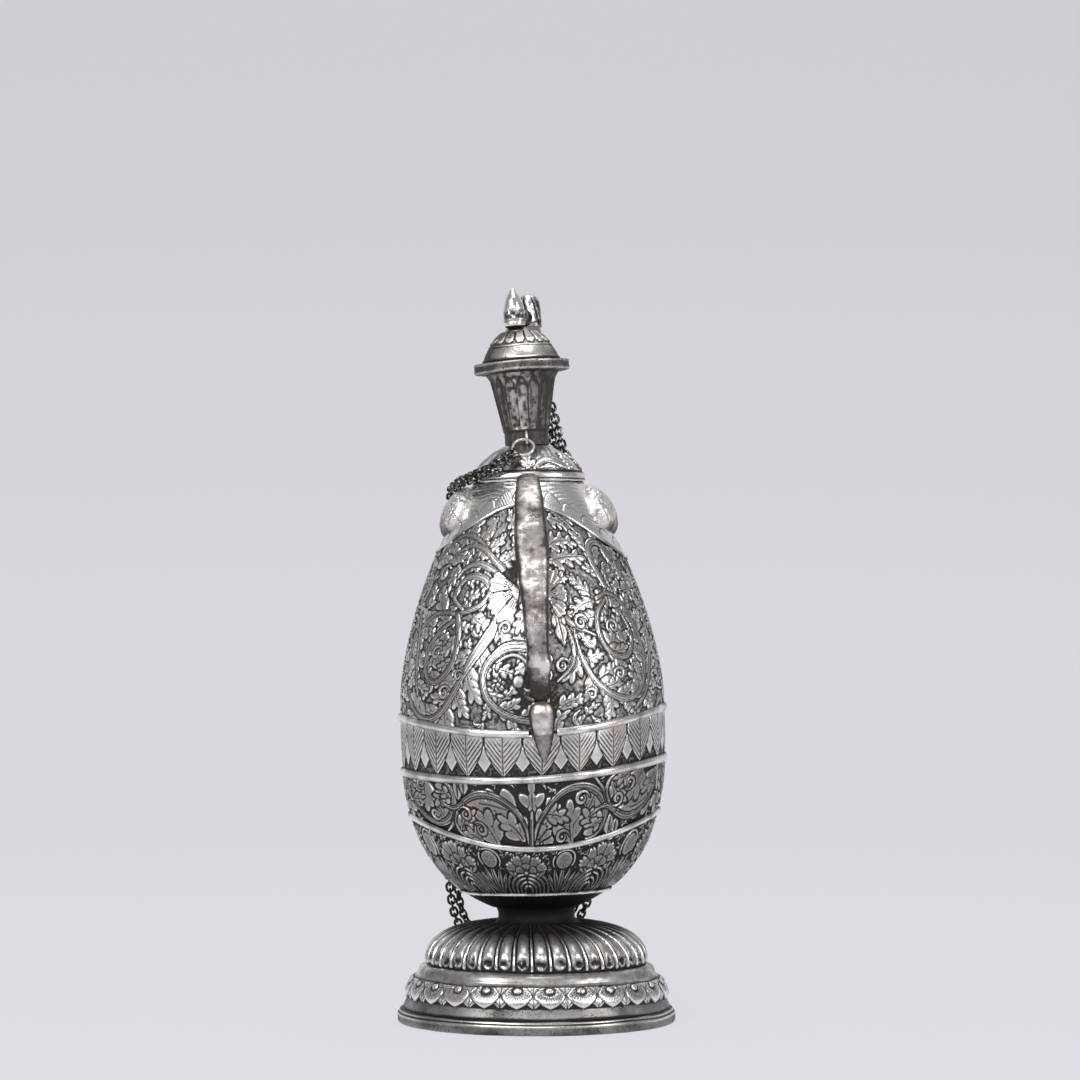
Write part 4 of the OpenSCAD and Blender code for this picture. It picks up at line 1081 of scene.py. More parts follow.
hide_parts("lower_bowl")
refinish("stem", under_bowl_shade)

# --------------------------------------------------------------- body wires
# Half-round wires soldered round the body over the joins between the bands. They are hammered
# down by hand, so their width and height waver, and black lies along both edges.
wire_silver = silver_finish("wire_silver", base=0.06, pits=0.25, pit_size=0.9)


def body_wire(name, height, wide, thick, seed, opening=0.0, middle=0.0):
    """One wire; opening is the angle left free in it about middle."""
    count = 760
    if opening:
        a = middle + np.linspace(opening / 2, 2 * math.pi - opening / 2, count)
    else:
        a = ring_turns(count)
    s = a * work_r
    b = np.radians(np.linspace(-96, 96, 13))
    waver = grain(s, 0 * s, 9.0, seed, work_round) * 0.10 + grain(s, 0 * s, 2.8, seed + 3, work_round) * 0.05
    across = np.sin(b)[:, None] * wide / 2 * (1 + waver)[None]
    lift = (np.cos(b)[:, None] * thick * (1 - 0.8 * waver)[None]) + 0.12
    lift[0] = lift[-1] = -0.25
    z = height(a)
    n_out, n_up = wall_normal(z)
    r, h = wall_r(z) + n_out * lift - n_up * across, z + n_up * lift + n_out * across
    points = on_body(round_pot(r, h, a[None]))
    level = 0.95 * np.cos(b * 0.93)[:, None] ** 0.7 + 0.25 * grain(s, 0 * s, 4.5, seed + 9)[None] - 0.12
    piece = new_piece(name + "_wire", points, ring_faces(len(b), count, not opening), wire_silver,
                      relief=np.clip(level, 0, 1.1))
    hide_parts(name)


body_wire("bowl_ring", bowl_ring_z, 1.7, 0.8, seed=2)
body_wire("belt_lower", belt_lower_z, 2.7, 1.15, seed=3)
body_wire("belt_middle", belt_middle_z, 3.3, 1.25, seed=4)
# the upper belt stops short of the handle's leaf on both sides of it
leaf_turn = math.asin(math.sin(math.radians(handle_lean)) * 95.1 / 52.5)
body_wire("belt_upper", belt_upper_z, 3.3, 1.25, seed=5, opening=2 * math.asin(5.4 / 52.5), middle=leaf_turn)
body_wire("shoulder_border", border_z, 1.9, 0.8, seed=6)

# ---------------------------------------------------------------------- foot
# The foot is spun from sheet in two parts over a thick rolled rim: a skirt with a row of chased
# heart-shaped leaves under a plain step, and a dome beaten into gadroons.


def path_of(points, step):
    """A broken line walked in even steps, with its outward normals."""
    p = np.asarray(points, float)
    run = run_of(p)
    t = np.linspace(0, run[-1], max(3, int(round(run[-1] / step)) + 1))
    q = np.stack([np.interp(t, run, p[:, k]) for k in (0, 1)], -1)
    d = unit(np.gradient(q, axis=0))
    return q, np.stack([d[:, 1], -d[:, 0]], -1), t


def turned_piece(name, stands_for, outside, inside, turns, chase, finish, place, ground, seed,
                 step=0.45, radius=work_r, wander=0.3, body="pot", rub=0.25):
    """A piece turned about the pot's axis. outside is its outer line from the bottom up and
    inside the few points that close it, from the top down. chase(field, tall) works on s, round
    it at the radius given, and t, along the outer line."""
    q, n, t = path_of(outside, step)
    n = np.stack([soften(np.repeat(n[:, k:k + 1], 3, 1), 2)[:, 0] for k in (0, 1)], -1)
    field = Chasing(half_turns(turns) * radius, t, wander, seed, radius=radius)
    chase(field, t[-1])
    dents = 0.05 * field.uneven(5.0, seed + 4)
    h = field.height + dents
    level = ground + 0.62 * field.raised + rub * (h - soften(h, 3)) / 0.3 - 0.85 * field.black + dents
    shell = round_pot(q[:, :1] + n[:, :1] * h, q[:, 1:] + n[:, 1:] * h, turns[None])
    ring = np.asarray(inside, float)
    points = np.concatenate([shell, round_pot(ring[:, :1], ring[:, 1:], turns[None])])
    level = np.concatenate([level, np.full((len(ring), len(turns)), 0.1)])
    piece = new_piece(name, place(points), ring_faces(len(points), len(turns), True), finish,
                      body=body, relief=np.clip(level, 0, 1.2))
    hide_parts(stands_for)


def on_base(p):
    """The foot's parts stand on the base plate and do not lean."""
    return p


plain = silver_finish("worn_silver", pits=0.3, pit_size=1.0, copper=0.5)


def chase_hearts(field, tall):
    """Cove, hearts and the plain step: t runs from the rim up the skirt."""
    S, T = field.S, field.T
    low, high = 4.6, 13.6
    v = (T - low) / (high - low)
    on = (v > 0) & (v < 1)
    pitch = work_round / 25
    p = (S / pitch + 0.1) % 1 - 0.5
    # small pointed leaves between
    q = (p + 1.0) % 1 - 0.5
    for lift in (0.0, 0.14):
        w = 0.36 * np.clip((v - lift) / 0.5, 0, 1) ** 0.8
        inside = np.where(on & (v < 0.98), (w - np.abs(q)) * pitch, nowhere)
        field.cover(inside, 0.42 + 0.15 * (lift > 0), bell(q * pitch, 0, 0.22) * 0.7, outline=0.45)
    # hearts
    w = (0.47 * np.sin(np.clip(v / 0.62, 0, 1) * math.pi / 2) ** 0.85
         * np.sqrt(np.clip((1.12 - v) / 0.5, 0, 1)))
    inside = np.where(on, (w - np.abs(p)) * pitch, nowhere)
    up = (v - 0.80) * (high - low)
    r = np.hypot(p * pitch / 1.15, up)
    a = np.arctan2(up, p * pitch)
    rays = np.clip(np.cos(a * 26) * 1.7 - 0.6, 0, 1) * (r > 1.9) * (r < 4.3)
    field.cover(inside, 0.75 - 0.25 * bell(r, 2.0, 0.7), rays * 0.9 + 0.8 * bell(r, 1.75, 0.35), outline=0.5)
    eye = np.hypot(p * pitch / 1.35, up)
    field.cover(np.where(on, 1.25 - eye, nowhere), 1.0, outline=0.3)
    # plain cove and step stay bright and worn
    bare = (v <= 0) | (v >= 1.02)
    cove = 0.48 + 0.22 * grain(S, T * 2, 7, 5)
    ledge = 0.72 + 0.25 * grain(S, T * 2, 9, 6) + 0.18 * grain(S, T * 2, 2.5, 7)
    worn = np.where(v <= 0, cove, ledge)
    field.raised[:] = np.where(bare, worn, field.raised)
    field.height += np.where(v >= 1.02, 0.22 * field.uneven(12.0, 8), 0)
    field.blacken(bell(v, 1.0, 0.035) * 0.9)
    field.blacken(bell(T, 0.3, 0.5) * 0.8)


skirt_line = np.concatenate([[(53.25, 5.52), (53.3, 6.2), (52.6, 8.0), (52.0, 9.2), (51.8, 9.7)],
                             bezier((51.9, 10.0), (52.9, 13.5), (50.0, 16.0), (48.7, 18.5),
                                    np.linspace(0, 1, 24)),
                             [(48.1, 18.95), (47.7, 19.1), (47.6, 19.6), (47.5, 20.2), (47.1, 21.2),
                              (46.4, 22.1), (45.4, 22.7), (44.3, 22.98)]])
turned_piece("chased_skirt", "foot_skirt", skirt_line,
             [(40.0, 22.98), (40.0, 21.4), (43.5, 19.0), (50.0, 9.0), (50.7, 5.52)],
             ring_turns(860), chase_hearts, chased, on_base, ground=0.19, seed=41, wander=0.35)


def chase_gadroons(field, tall):
    S, T = field.S, field.T
    pitch = work_round / 38
    p = (S / pitch + 0.2 + 0.00055 * T ** 2) % 1 - 0.5
    v = T / tall
    # a wide rounded lobe with a scooped end, and a narrow ridge each side of it
    round_off = np.sqrt(np.maximum(1 - (p / 0.385) ** 2, 0))
    scoop = (np.exp(-((T - 3.1) / 1.9) ** 2 - (p / 0.26) ** 2)
             * np.clip(0.9 + 0.6 * field.uneven(1.3, 5), 0.2, 1.2))
    inside = np.minimum((0.385 - np.abs(p)) * pitch, T - 0.8 - 1.8 * (np.abs(p) / 0.36) ** 2.2)
    field.cover(inside, 1.0, scoop, outline=0.45)
    blotch = grain(S * 1.3, T * 0.7, 3.0, 61)
    field.height[:] = np.where(inside > 0, 1.45 * round_off * np.clip(inside / 0.5, 0, 1) - 1.6 * scoop,
                               field.height)
    field.raised[:] = np.where(inside > 0, 0.95 * round_off ** 1.5 + 0.15 * blotch, field.raised)
    edge = 0.5 - np.abs(p)
    field.cover(np.minimum((0.085 - edge) * pitch, T - 0.7), 1.15, outline=0.35)
    # painted shade: the dome darkens towards its top, under the bowl and stem
    dark = np.clip((v - 0.36) / 0.30, 0, 1)
    field.raised *= 1 - dark * np.where(edge < 0.085, 0.55, 0.95)
    field.blacken(0.30 * dark * (edge > 0.085))
    field.blacken(bell(T, 0.35, 0.45) * 0.9)


gadroon_line = bezier((43.4, 23.0), (44.4, 32.0), (35.4, 37.4), (18.9, 38.5), np.linspace(0, 1, 60))
turned_piece("gadrooned_dome", "foot_dome", gadroon_line,
             [(14.5, 38.5), (14.5, 37.0), (30.0, 34.5), (39.9, 26.0), (39.9, 23.0)],
             ring_turns(1100), chase_gadroons, chased, on_base, step=0.5, ground=0.18, seed=47, wander=0.35,
             rub=0.18)


def age_rim(field, tall):
    S, T = field.S, field.T
    ledges = bell(T, 7.0, 0.5) + bell(T, 8.6, 0.45)
    field.raised += 0.42 + 0.25 * grain(S, T * 2, 9, 3) + 0.7 * ledges
    grooves = bell(T, 7.9, 0.3) * 0.8 + bell(T, 9.5, 0.3) * np.clip(0.6 + field.uneven(9, 12), 0, 1)
    field.blacken(grooves)
    field.height -= 0.22 * grooves


rim_line = [(51.6, 0.0), (54.6, 0.0), (55.1, 0.25), (55.42, 0.8), (55.5, 1.4), (55.5, 3.4), (55.3, 4.2),
            (54.8, 4.55), (54.75, 4.8), (54.5, 5.3), (54.0, 5.5), (53.4, 5.5)]
turned_piece("rolled_rim", "foot_rim", rim_line, [(50.2, 5.48), (50.2, 1.8), (51.5, 1.8)], ring_turns(600),
             age_rim, plain, on_base, step=0.35, ground=0.1, seed=51)

# -------------------------------------------------------------------- collar
# A stepped ring and a low dome spun in one piece over the shoulder, chased with drooping leaves
# and cast lumps; the chain lies on its left side.


def chase_collar(field, tall):
    S, T = field.S, field.T
    streaks = grain(S * 1.6, T * 0.6, 1.6, 14)
    field.raised[:] = 0.55 + 0.32 * field.uneven(5, 2) + 0.38 * streaks * (T > 6.5)
    field.raised[T < 5.4] = 0.85
    field.height[:] = 0.18 * field.uneven(3.4, 12) + 0.14 * streaks * (T > 6.5)
    for k in range(8):
        s, hand = k * field.around / 8, 1
        if k % 2:
            s, hand = s + 4, -1
        lay_ribbon(field, [(s + hand * 3.5, 7.6), (s + hand * 7, 10.8), (s + hand * 12, 12.2),
                           (s + hand * 16.5, 9.8), (s + hand * 17.5, 7.4)],
                   [0.4, 1.3, 1.7, 1.3, 0.5], 0.7)
        lay_ribbon(field, [(s + hand * 7, 7.8), (s + hand * 11, 9.4), (s + hand * 15, 7.9)],
                   [0.4, 1.0, 0.4], 0.5, False)
        lay_acanthus(field, s + hand * 20, 8.0, math.pi / 2, 6.5, 5.0, 0.3, 2)
    for t, wide in ((0.4, 0.5), (3.1, 0.25), (6.4, 0.5)):
        field.blacken(bell(T, t, wide) * 0.95)
        field.height -= 0.3 * bell(T, t, wide)


collar_line = np.concatenate([[(20.4, 215.0), (22.3, 215.0), (22.75, 215.5), (22.9, 216.6), (22.75, 217.8),
                               (22.4, 218.6), (22.0, 219.3), (21.6, 219.6), (21.4, 220.0)],
                              bezier((20.6, 220.2), (19.7, 223.4), (12.6, 228.0), (9.35, 229.6),
                                     np.linspace(0, 1, 30))])
turned_piece("chased_collar", "shoulder_collar", collar_line,
             [(6.6, 229.6), (6.6, 228.0), (11.8, 226.0), (16.8, 220.0), (17.0, 215.0), (17.0, 213.0),
              (19.7, 213.0)],
             ring_turns(420), chase_collar, chased, on_body, step=0.4, radius=20.0, ground=0.3, seed=61,
             wander=0.5)

# ---------------------------------------------------------------- neck and lip
# A cup beaten into sixteen flutes that end in petal tips under the lip, on a plain ring; a heavy
# flange round the mouth, scraped and toned brown.
cast = silver_finish("cast_silver", oxide=(0.05, 0.045, 0.042), grey=(0.36, 0.335, 0.315),
                     bright=(0.86, 0.84, 0.81), pits=0.8, pit_size=1.3, copper=0.7, rough=0.04)
neck_r = 11.0


def chase_flutes(field, tall):
    S, T = field.S, field.T
    pitch = field.around / 16
    p = (S / pitch + 0.62) % 1 - 0.5
    v = (T - 6.2) / (tall - 6.2)
    tip = 0.86 - 0.16 * (np.abs(p) / 0.45) ** 2
    inside = np.minimum((0.44 - np.abs(p)) * pitch, np.minimum((tip - v) * (tall - 6.2), (v - 0.02) * 20))
    hollow = -0.55 * (1 - (p / 0.46) ** 2)
    field.cover(inside, 1.0, outline=0.35)
    field.height[:] = np.where(inside > 0, hollow * np.clip(inside / 0.8, 0, 1), field.height * 0.4)
    streaks = grain(S, T * 0.12, 1.1, 4, field.around) + 0.6 * field.uneven(1.4, 6)
    # painted highlight: a bright upright streak down the flutes on the side facing the front lamps, a little
    # left of the handle's line
    facing = np.cos(S / neck_r + 0.24)
    rub_and_sheen = np.exp((facing - 1) * 9) * np.clip(1 + 1.6 * field.uneven(1.5, 15), 0, 1.4)
    field.raised[:] = np.where(v < 0, 0.12 + 0.1 * streaks, 0.13 + 0.2 * streaks + 0.62 * rub_and_sheen)
    field.black = np.maximum(field.black * 0.55, bell(v, 0.0, 0.02) * 0.9)
    field.blacken(bell(v - tip, 0.03, 0.03) * 0.85)


neck_line = [(8.75, 229.65), (8.8, 230.0), (8.8, 234.9), (8.75, 235.3), (9.2, 235.7), (12.0, 250.3),
             (13.2, 256.6), (13.5, 257.0), (14.7, 258.9)]
turned_piece("fluted_neck", "neck", neck_line, [(9.3, 258.9), (9.3, 248.4), (6.6, 248.3), (6.6, 229.6)],
             ring_turns(400), chase_flutes, cast, on_neck, step=0.35, radius=neck_r, ground=0.12, seed=71,
             wander=0.12)


def age_flange(field, tall):
    S, T = field.S, field.T
    edges = bell(T, 9.9, 0.45) + bell(T, 13.2, 0.45)
    field.raised += 0.22 + 0.18 * grain(S, T * 3, 7, 3) + 0.12 * grain(S, T * 0.4, 2, 13) + 0.8 * edges


flange_line = [(9.35, 259.0), (15.6, 259.0), (17.6, 259.25), (18.7, 259.5), (19.1, 259.8), (19.2, 260.1),
               (19.05, 260.6), (19.05, 262.5), (19.2, 262.9), (19.1, 263.25), (18.7, 263.4),
               (17.5, 263.4), (14.0, 263.4)]
turned_piece("mouth_flange", "rim_flange", flange_line, [(9.3, 263.4)], ring_turns(360), age_flange, cast,
             on_neck, step=0.35, radius=18.0, ground=0.1, seed=75)

# ----------------------------------------------------------------------- lid
# A low cone with a bright plain edge, sixteen petals chased round its top, and a plug beneath
# that stands in the neck.


def chase_lid(field, tall):
    S, T = field.S, field.T
    line = 13.4
    field.raised[:] = np.where(T < line, 0.7 + 0.4 * field.uneven(8, 2) + 0.25 * field.uneven(2.5, 3), 0.45)
    p = (S / (field.around / 16) + 0.5) % 1 - 0.5
    tip = line + 0.9 + 1.6 * (np.abs(p) / 0.44) ** 2.5
    inside = np.minimum((0.44 - np.abs(p)) * 4.0, T - tip)
    field.cover(inside, 0.6, outline=0.7)
    field.raised[:] = np.where(inside > 0, 0.45 + 0.6 * bell(T - tip, 0.8, 1.1), field.raised)
    # painted light: shade on the lid's left and a highlight a little right of its front, added again to the
    # plain edge as worn
    field.raised -= 0.6 * bell(S, -13, 7) + 0.2 * bell(S, 16, 3)
    worn = 0.4 * bell(S, 4, 5) - 0.35 * bell(S, -11, 5) - 0.3 * bell(S, 16, 3)
    field.raised += (T < line) * worn
    ridge = bell(T, line, 0.3)
    field.height += 0.3 * ridge
    field.black = np.maximum(field.black * (1 - ridge), bell(T - line, -0.65, 0.22) * 0.7)
    field.blacken(np.clip((T - tall + 1.5) / 1.0, 0, 1))
    field.blacken(np.clip((7.6 - T) / 0.5, 0, 1))


lid_line = np.concatenate([[(9.1, 263.72), (15.2, 263.72), (15.6, 264.0), (15.7, 264.4), (15.5, 264.75)],
                           bezier((15.1, 265.0), (13.7, 269.0), (10.7, 272.55), (7.1, 275.18),
                                  np.linspace(0, 1, 30)), [(5.0, 275.2)]])
turned_piece("petalled_lid", "lid_dome", lid_line, [(1.4, 275.2), (1.4, 271.0), (7.4, 263.72)],
             ring_turns(360), chase_lid, cast, on_neck,
             step=0.33, radius=12.0, ground=0.25, seed=81, wander=0.15, body="lid")
for name in ("lid_plug", "finial_rivet"):
    refinish(name, plain)

# -------------------------------------------------------------------- finial
# A small bird cast solid and riveted on: its tail stands up as a pointed bud at the near side,
# and neck and head make a blunt form with a beak at the far side.
bird_z, bird_turn = 277.2, math.radians(36)
bird_silver = silver_finish("bird_silver", pits=0.5, pit_size=0.8, copper=0.5, rough=0.02)


def closed_ends(rows, columns):
    """Quads of a tube open at both ends, and a face to close each."""
    last = (rows - 1) * columns
    ring = np.arange(columns)
    return grid_faces(rows, columns), [ring[::-1], ring + last]


def bird_part(name, points, level):
    """One part of the bird, given in its own frame with +Y towards the beak."""
    x, y, z = points[..., 0] + 1.2, points[..., 1], points[..., 2]
    c, s = math.cos(bird_turn), math.sin(bird_turn)
    points = on_neck(np.stack([c * x + s * y, c * y - s * x, z + bird_z], -1))
    piece = new_piece(name, points, closed_ends(*points.shape[:2]), bird_silver, body="lid",
                      relief=np.clip(level, 0, 1.15))
    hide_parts("finial_bird")


around = np.radians(np.arange(96) * 3.75)[None]
facing = half_turns(around + math.radians(54))
tail_line = path_of(np.concatenate([[(0.03, 0), (3.6, 0), (4.2, 0.8)],
                                    bezier((4.4, 3.4), (4.5, 8.4), (3.4, 12.0), (0.5, 15.7),
                                           np.linspace(0, 1, 30)), [(0.03, 16.0)]]), 0.28)[0]
r, z = tail_line[:, :1], tail_line[:, 1:]
mottle = (grain(around * 4.2, z, 1.5, 111, 8.4 * math.pi)
          + 0.5 * grain(around * 4.2, z, 0.8, 112, 8.4 * math.pi))
waist = np.exp(-((z - 5.0) / 1.9) ** 4)
swell = (0.05 * mottle + 0.28 * waist * (mottle - 0.8) + 0.10 * np.cos(3 * facing) * (z > 7.6)
         - 0.12 * bell(z, 2.5, 0.3))
level = (0.92 + 0 * around - 0.75 * waist * np.clip(0.75 - mottle, 0, 1) - 0.4 * bell(z, 2.5, 0.35)
         - 0.9 * (z < 0.5))
rr = np.maximum(r + swell * np.clip(r / 2, 0, 1), 0.02)
bird_part("bird_tail", np.stack([rr * np.cos(around), -4.2 + rr * np.sin(around), z + 0 * around], -1), level)

head_line = path_of(np.concatenate([[(0.03, 0), (4.8, 0)],
                                    bezier((4.7, 1.5), (4.9, 10.0), (4.7, 13.5), (0.03, 13.5),
                                           np.linspace(0, 1, 40))]), 0.3)[0]
r, z = head_line[:, :1], head_line[:, 1:]
ridge = bell(facing, -0.03 * (z - 8), 0.24) * (z > 2) * (z < 11)
grooves = sum(bell(facing, way + 0.05 * (11 - z), 0.07)
              for way in (0.42, 0.85, 1.3, -0.5, -1.1, 2.0, -1.9)) * (z < 12) * (z > 1)
mottle = grain(around * 4.6, z, 1.3, 113, 9.2 * math.pi)
swell = 0.25 * ridge - 0.3 * grooves + 0.08 * mottle
level = 0.5 + 0.55 * ridge - 0.75 * grooves + 0.22 * mottle - 0.5 * bell(z, 2.2, 0.35) + 0.3 * (z > 11)
rr = np.maximum(r + swell * np.clip(r / 2, 0, 1), 0.02)
bird_part("bird_head", np.stack([rr * np.cos(around), 6.0 + rr * np.sin(around), z + 0 * around], -1), level)

way = np.linspace(0, math.pi, 40)[:, None]
y, r = 1.1 - 7.2 * np.cos(way), 3.9 * np.sin(way) ** 0.7 + 0.02
bird_part("bird_back", np.stack([r * np.cos(around), y + 0 * around, 3.95 + r * np.sin(around)], -1),
          0.35 + 0.3 * grain(around * 4, y, 1.4, 114, 8 * math.pi))
y, r = 10.6 - 2.4 * np.cos(way), (1.5 - 0.95 * (1 - np.cos(way)) / 2) * np.sin(way) ** 0.6 + 0.02
bird_part("bird_beak", np.stack([r * np.cos(around), y + 0 * around,
                                 9.4 - 0.35 * (y - 8) + r * np.sin(around)], -1), 0.7 + 0 * r * around)

# -------------------------------------------------------------------- handle
# Cast solid, oval in section and pitted by the mould; it springs from
# under the collar and ends on the belly in a pointed leaf. It is painted with light: bright along its top, a
# glint at the knuckle, painted shade at its lower end and on the side towards the belly.
handle_line = [[-19, 162.5], [-27, 167.8], [-36, 166.8], [-46, 160], [-55, 148.5], [-61, 134], [-62.7, 118],
               [-62, 103], [-58.5, 93], [-53.5, 87], [-46, 85.2]]
handle_widths = [0.7, 0.78, 0.95, 1, 0.95, 0.9, 0.86, 0.72, 0.68, 0.68, 0.66]
handle_thick = [0.95, 0.95, 1, 1, 1, 1, 1, 0.98, 0.9, 0.9, 0.9]
pitted = silver_finish("pitted_silver", oxide=(0.06, 0.05, 0.046), grey=(0.33, 0.305, 0.29),
                       bright=(0.88, 0.86, 0.83), pits=0.7, pit_size=0.7, copper=0.8, rough=0.05)


def swept(points, u):
    """A curve in the plane of spout and handle: its points, their normals and the way along."""
    line = smooth_line(points, u)
    d = unit(np.gradient(line, axis=0))
    return line, np.stack([d[:, 1], -d[:, 0]], -1), run_of(line)


def cast_piece(stands_for, points, level):
    """The handle or its leaf, which lean together."""
    points = on_body(lean(points, handle_lean, collar_z))
    name = stands_for.replace("handle_", "")
    piece = new_piece("cast_" + name, points, closed_ends(*points.shape[:2]), pitted,
                      relief=np.clip(level, 0, 1.1))
    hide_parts(stands_for)


u = np.linspace(0.2, 10, 380)
line, normal, run = swept(handle_line, u)
knuckle = 1 + 0.25 * bell(u, 7.5, 1 / 3.4)
swell = knuckle + 0.24 * bell(u, 4.6, 0.9) - 0.15 * bell(u, 2.0, 0.9)
wide = 6.2 * swell * smooth_line(np.array(handle_widths)[:, None], u)[:, 0]
thick = 3.8 * knuckle * smooth_line(np.array(handle_thick)[:, None], u)[:, 0]
a = np.radians(np.arange(60) * 6)
A, R = np.meshgrid(a * 5, run)
lumps = (0.14 * grain(A, R, 5.5, 91, 10 * math.pi) + 0.09 * grain(A, R, 2.1, 92, 10 * math.pi)
         + 0.07 * grain(A, R, 1.1, 93, 10 * math.pi))
square = 1 - 0.06 * np.cos(4 * a)
x = (wide[:, None] * square + lumps) * np.cos(a)
out = (thick[:, None] * square + lumps) * np.sin(a)
points = np.stack([x, line[:, :1] + normal[:, :1] * out, bowl_z + line[:, 1:] + normal[:, 1:] * out], -1)
outer = np.sin(a)[None]
# painted highlight along the top and at the knuckle, painted shade towards the lower end
painted_handle_light = np.interp(u, [0, 1.2, 1.6, 3.5, 4.2, 5, 6.3, 7.1, 7.4, 7.7, 8.2, 10],
                  [0.15, 0.22, 0.42, 0.66, 0.80, 0.80, 0.76, 0.72, 1.3, 0.8, 0.2, 0.15])
flanks = bell(np.abs(np.cos(a)), 0.80, 0.10)[None] * (outer > 0)
blots = (np.clip(grain(A, R * 0.5, 1.6, 94, 10 * math.pi) * 1.6 - 0.3, 0, 1)
         * np.clip(1.3 - 0.2 * u, 0.7, 1)[:, None])
blots = (0.7 * blots + 0.35 * grain(A, R, 0.9, 96, 10 * math.pi)) * (1.25 - 0.5 * knuckle)[:, None]
# the outer face is painted brighter than the side towards the belly
level = (0.12 + (0.68 * painted_handle_light)[:, None] * np.clip(0.6 + 0.4 * outer, 0.2, 1) + 1.5 * lumps - 0.4 * flanks
         - 0.4 * blots)
cast_piece("handle", points, level)

# the leaf: a long drop with a raised rim line, laid on the belly
v = np.linspace(0, 1, 70)
top_h, leaf_l, leaf_w = 83.2, 24.3, 10.2
h = bowl_z + top_h - leaf_l * v
half_w = leaf_w / 2 * np.interp(v, [0, 0.03, 0.08, 0.16, 0.3, 0.6, 0.85, 0.97, 1],
                                [0.02, 0.45, 0.78, 0.98, 1.0, 0.76, 0.42, 0.15, 0.01])
depth = 3.3 * np.interp(v, [0, 0.03, 0.08, 0.2, 0.35, 0.7, 1], [0.05, 0.5, 0.8, 1.05, 1.0, 0.5, 0.12])
b = np.radians(np.arange(40) * 9)
across = half_w[:, None] * np.cos(b)
rim = bell(np.abs(np.cos(b)), 0.93, 0.05) * (np.sin(b) > 0)
lift = np.where(np.sin(b) > 0, depth[:, None] * np.maximum(np.sin(b), 0) ** 0.8 * (1 - 0.18 * rim), -0.3)
n_out, n_up = wall_normal(h)
base = wall_r(h)[:, None] - across ** 2 / 105
points = np.stack([across, -(base + n_out[:, None] * lift), h[:, None] + n_up[:, None] * lift], -1)
level = (0.28 + 0.5 * np.clip(np.sin(b), 0, 1)[None] - 0.8 * rim[None]
         + 0.2 * grain(across, h[:, None], 1.6, 7) - 0.25 * (v[:, None] > 0.55))
cast_piece("handle_leaf", points, level)

# -------------------------------------------------------------------- bosses
# Two oval cast knobs soldered to the shoulder and finely pitted all over.
fine_pitted = silver_finish("fine_pitted_silver", oxide=(0.06, 0.05, 0.046), grey=(0.33, 0.305, 0.29),
                            bright=(0.88, 0.86, 0.83), pits=0.8, pit_size=0.62, copper=0.6, rough=0.15)
for side, name in ((-1, "boss_left"), (1, "boss_right")):
    z0 = bowl_z + 157.0
    n_out, n_up = wall_normal(z0)
    b = np.radians(np.linspace(-14, 90, 76))[:, None]
    a = np.radians(np.arange(180) * 2)[None]
    down, across = 11.5 * np.cos(b) * np.cos(a), 15.0 * np.cos(b) * np.sin(a)
    speck = grain(across, down + 3 * b, 0.95, 95 + side)
    lumps = (0.035 * grain(across, down, 3.4, 97 + side) + 0.06 * speck
             + 0.15 * grain(across, down, 0.5, 99 + side))
    bulge = 1 + lumps / 14
    # down runs along the slope, lift stands off it
    down, across, lift = down * bulge, across * bulge, 7.0 * np.sin(b) * bulge + 0.9 * lumps
    x = side * (wall_r(z0) - 2 + n_out * lift + n_up * down)
    z = z0 + n_up * lift - n_out * down
    points = np.stack([x, across, z], -1)
    if side < 0:
        points = points[:, ::-1]
    # painted shade on each knob's lower side; the left knob is painted a little darker than the right
    under = np.clip(np.cos(b) * np.cos(a) - 0.4, 0, 1)
    level = 0.94 + 0.05 * side + 0.8 * lumps - 0.4 * np.clip(-speck - 0.1, 0, 1) - 1.2 * under
    piece = new_piece("cast_" + name, on_body(points), closed_ends(*points.shape[:2]), fine_pitted,
                      relief=np.clip(level, 0, 1.1))
    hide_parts(name)

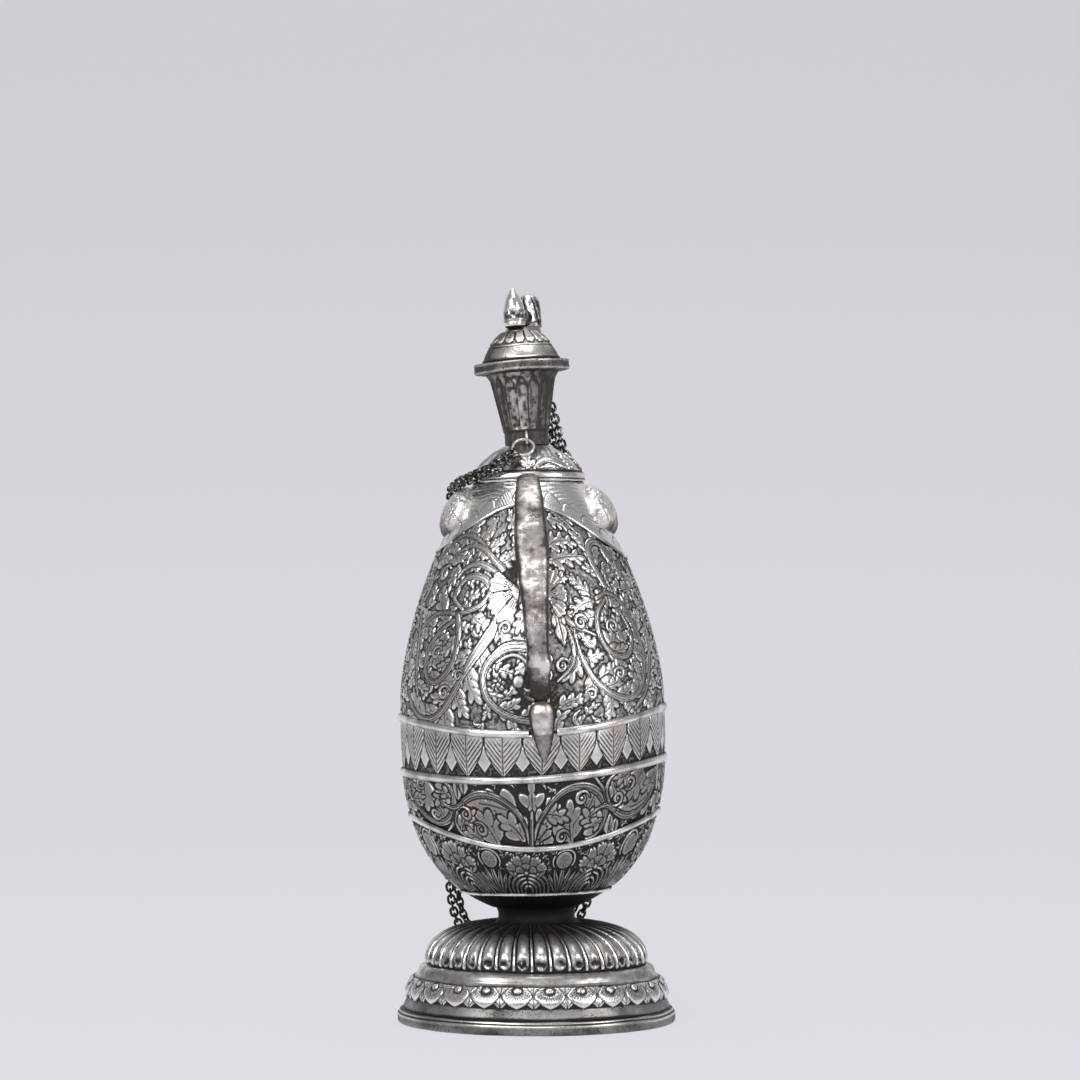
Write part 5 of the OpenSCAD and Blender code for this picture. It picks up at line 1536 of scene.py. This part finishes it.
# --------------------------------------------------------------------- spout
# A tapering tube bent to an S on the side away from the handle, its root chased with leaves and
# held in a wire ring, and its mouth finished with a bead.
spout_line = [[44, -4], [52, -1], [62, 3], [72, 10], [80, 21.5], [85.5, 36], [89.5, 51], [94.5, 65],
              [100.5, 74.5], [107, 78]]
spout_taper = [1.05, 1, 0.72, 0.46, 0.28, 0.17, 0.09, 0.04, 0, 0]
spout_z, spout_thick = 144, 1.3
u = np.linspace(0, 9, 250)
line, normal, run = swept(spout_line, u)
radius = 5.6 + 6.4 * smooth_line(np.array(spout_taper)[:, None], u)[:, 0]
a = np.arange(120) * 2 * math.pi / 120 - math.pi
field = Chasing(a * 8, run, wander=0.3, seed=101)
for k in range(-3, 5):
    for row, (t0, long, wide) in enumerate(((9, 17, 2.9), (24, 15, 2.3), (39, 13, 1.9))):
        lay_leaf(field, (k + 0.5 * (row % 2)) * 6.28, t0, math.pi / 2, long, wide, 0.0, 5, 0.5)
for t0 in (54.5, 57.0, 102.0):
    field.cover(0.8 - np.abs(field.T - t0), 0.45)
lumps = 0.05 * grain(field.S, field.T, 4.0, 103)
bare = (field.T > 59).astype(float)
level = (0.22 + 0.35 * bare + 0.62 * field.raised + 0.25 * (field.height - soften(field.height, 3)) / 0.3
         - 0.85 * field.black + lumps)
rr = radius[:, None] + (field.height - 0.15) * 0.8 + lumps


def tube(c, n, r):
    """Rings of radius r about the points c, square to the line they stand on."""
    return np.stack([r * np.sin(a), c[:, :1] - n[:, :1] * r * np.cos(a),
                     spout_z + c[:, 1:] - n[:, 1:] * r * np.cos(a)], -1)


channel = tube(line[::-12], normal[::-12], radius[::-12, None] - spout_thick)
points = np.concatenate([tube(line, normal, rr), channel])
level = np.concatenate([level, np.full(channel.shape[:2], 0.12)])
piece = new_piece("chased_spout", on_body(points), ring_faces(*points.shape[:2], True), chased,
                  relief=np.clip(level, 0, 1.2))
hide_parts("spout")
for name in ("spout_collar", "spout_lip", "finial_base", "base_plate"):
    refinish(name, silver_finish("plain_" + name, base=0.62, pits=0.3))
